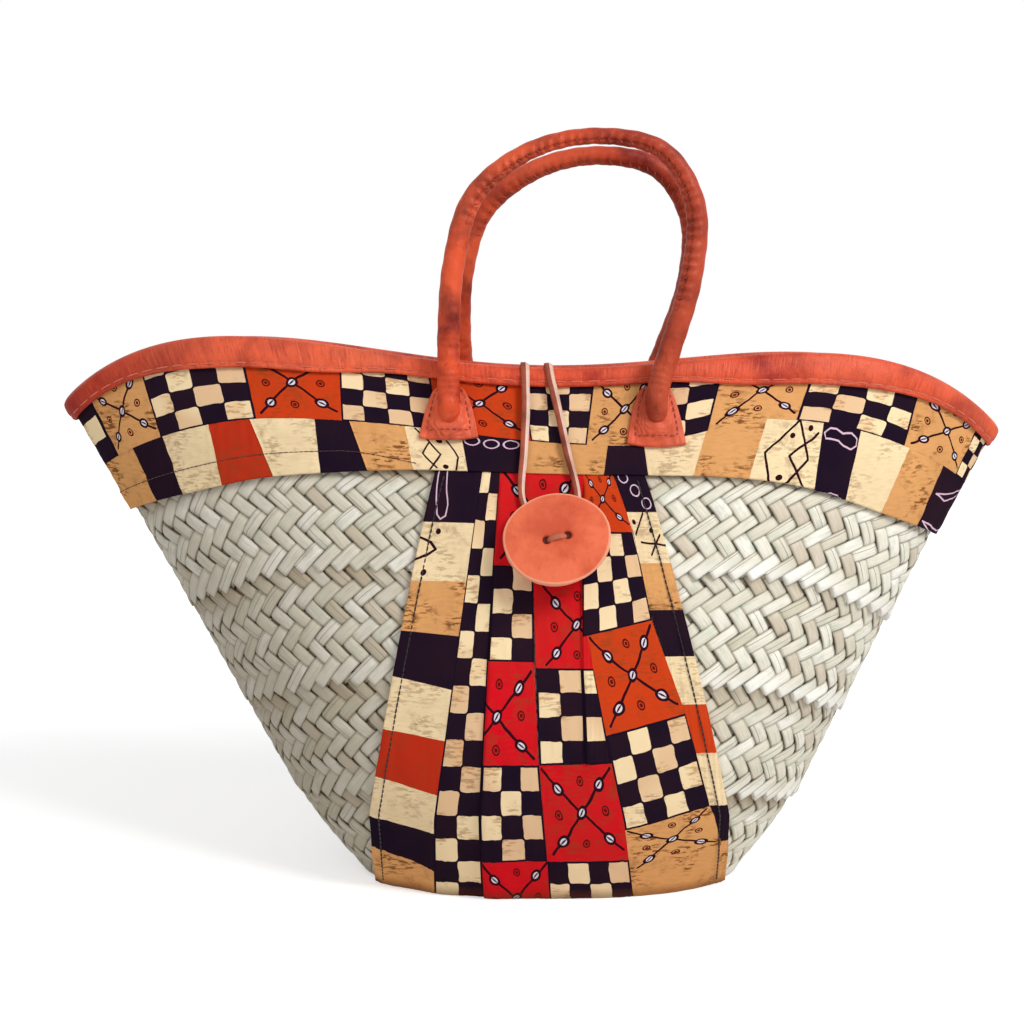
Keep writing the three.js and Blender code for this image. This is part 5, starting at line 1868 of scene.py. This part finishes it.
def make_loop():
    radius = NECK_RADIUS + LOOP_CLEARANCE + LOOP_WIDTH / 2
    bight = []
    for degrees in LOOP_BIGHT_DEGREES:
        turn = math.radians(degrees)
        x = BUTTON_X + radius * math.cos(turn)
        bight.append(wall_at(FRONT, x, BUTTON_HEIGHT_UP + radius * math.sin(turn), LOOP_WALL_OUT))
    near = []
    for hand in (-1, 1):
        x = BUTTON_X + (hand * (radius + LOOP_SPREAD_X) + LOOP_SPREAD_SHIFT) / 2
        near.append(wall_at(FRONT, x, BUTTON_HEIGHT_UP + LOOP_SPREAD_RISE / 2, LOOP_WALL_OUT))
    line = spline([*loop_strand(-1), near[0], *bight, near[1], *loop_strand(1)[::-1]], 16)
    line = even_line(line, 420)
    wide = LOOP_WIDTH / 2
    thick = LOOP_THICKNESS / 2
    corner = LOOP_CORNER

    def section(i):
        """A strap whose cut edge slants on the side that ends up on the right in front."""
        curl = 1 + 0.03 * math.sin(i * 0.21) + 0.02 * math.sin(i * 0.057)
        share = i / len(line)
        turned = float(smooth((share - 0.42) / 0.16))
        (left, left_drop), (right, right_drop) = (
            (lerp(corner, LOOP_CUT_WIDE * LOOP_WIDTH, cut), lerp(corner, LOOP_CUT_DEEP * thick, cut))
            for cut in (turned, 1 - turned)
        )
        outline = [
            (-wide, thick - corner), (-wide, left_drop - thick), (left - wide, -thick),
            (wide - right, -thick), (wide, right_drop - thick), (wide, thick - corner),
            (wide - corner, thick), (corner - wide, thick),
        ]
        taper = 1 - LOOP_NARROWING * math.exp(-(((share - 0.5) / 0.14) ** 2))
        return np.array(outline) * [curl * taper, 1]

    rings = sweep(line, (0, -1, 0), section)
    loop = closed_sweep_mesh("closure_thong", rings, THONG)
    loop.data.materials.append(THONG_EDGE)
    for polygon in loop.data.polygons:
        ring, column = divmod(polygon.index, rings.shape[1])
        if ring < len(line) - 1 and column in EDGE_COLUMNS[ring > len(line) / 2]:
            polygon.material_index = 1
    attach(loop, "basket")
    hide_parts("closure_loop")


make_binding()
for handle_side, handle_name in ((FRONT, "front"), (BACK, "back")):
    make_handle(handle_side, handle_name)
    make_pad(handle_side, -1, f"{handle_name}_left_pad_leather")
    make_pad(handle_side, 1, f"{handle_name}_right_pad_leather")
make_disc("button_face_leather", "button_face", FACE_LOW, FACE_THICKNESS, FACE_DOME, 1.0, 0.4)
make_disc("button_backing_leather", "button_backing", BACKING_LOW, BACKING_THICKNESS, 0.0, 0.985, 2.0)
make_tie()
make_neck()
make_knot()
make_loop()


# Stage and lights.

FLOOR_SIZE = 8.0
# How much the floor glows for the camera, near the basket and from FLOOR_FAR on.
FLOOR_GLOW_NEAR = 0.5
FLOOR_GLOW_FAR = 0.75
FLOOR_NEAR = 0.35
FLOOR_FAR = 1.2
WORLD_LIGHT = 0.36
# Each lamp's name, place, aim, size and power.
LAMPS = (
    ("key", (1.2, -1.2, 1.6), (0, 0, 0.2), 0.7, 28.5),
    ("fill", (-1.2, -1.4, 1.8), (0, 0, 0.35), 1.4, 8),
)


def make_stage():
    corners = [(x * FLOOR_SIZE, y * FLOOR_SIZE, 0) for x, y in ((-1, -1), (1, -1), (1, 1), (-1, 1))]
    paint = Paint("pale_floor", roughness=0.9, specular=0.1)
    paint.layered(colour(246, 246, 246), [])
    tree = paint.tree
    x, y, _ = paint.place()
    away = (x * x + y * y).between(FLOOR_NEAR**2, FLOOR_FAR**2)
    lift = away * (FLOOR_GLOW_FAR - FLOOR_GLOW_NEAR) + FLOOR_GLOW_NEAR
    glow = node(tree, "Emission", {"Strength": lift * node(tree, "LightPath", output="Is Camera Ray")})
    lit = node(tree, "AddShader", {0: Field(tree, paint.shader.outputs[0]), 1: glow})
    connect(tree, lit, tree.nodes["Material Output"].inputs["Surface"])
    floor = make_mesh("floor", corners, [(0, 1, 2, 3)], None, [paint.material], flat=True)


def make_world():
    """Soft light from all round. The camera and reflections see the surroundings as white."""
    world = bpy.data.worlds.new("studio")
    bpy.context.scene.world = world
    world.use_nodes = True
    tree = world.node_tree
    tree.nodes.remove(tree.nodes["Background"])
    shade = {"Color": (1, 1, 1, 1), "Strength": WORLD_LIGHT}
    light = node(tree, "Background", shade)
    white = node(tree, "Background", {**shade, "Strength": 1})
    rays = [node(tree, "LightPath", output=f"Is {kind} Ray") for kind in ("Camera", "Glossy")]
    seen = node(tree, "MixShader", {"Fac": rays[0].most(rays[1]), 1: light, 2: white})
    connect(tree, seen, tree.nodes["World Output"].inputs["Surface"])


def add_lamp(name, place, aim, size, power):
    data = bpy.data.lights.new(name, "AREA")
    data.size = size
    data.energy = power
    lamp = bpy.data.objects.new(name, data)
    lamp.location = place
    lamp.rotation_euler = (Vector(aim) - Vector(place)).to_track_quat("-Z", "Y").to_euler()
    bpy.context.scene.collection.objects.link(lamp)


make_stage()
make_world()
for lamp_settings in LAMPS:
    add_lamp(*lamp_settings)

bpy.context.scene.view_settings.view_transform = "Standard"
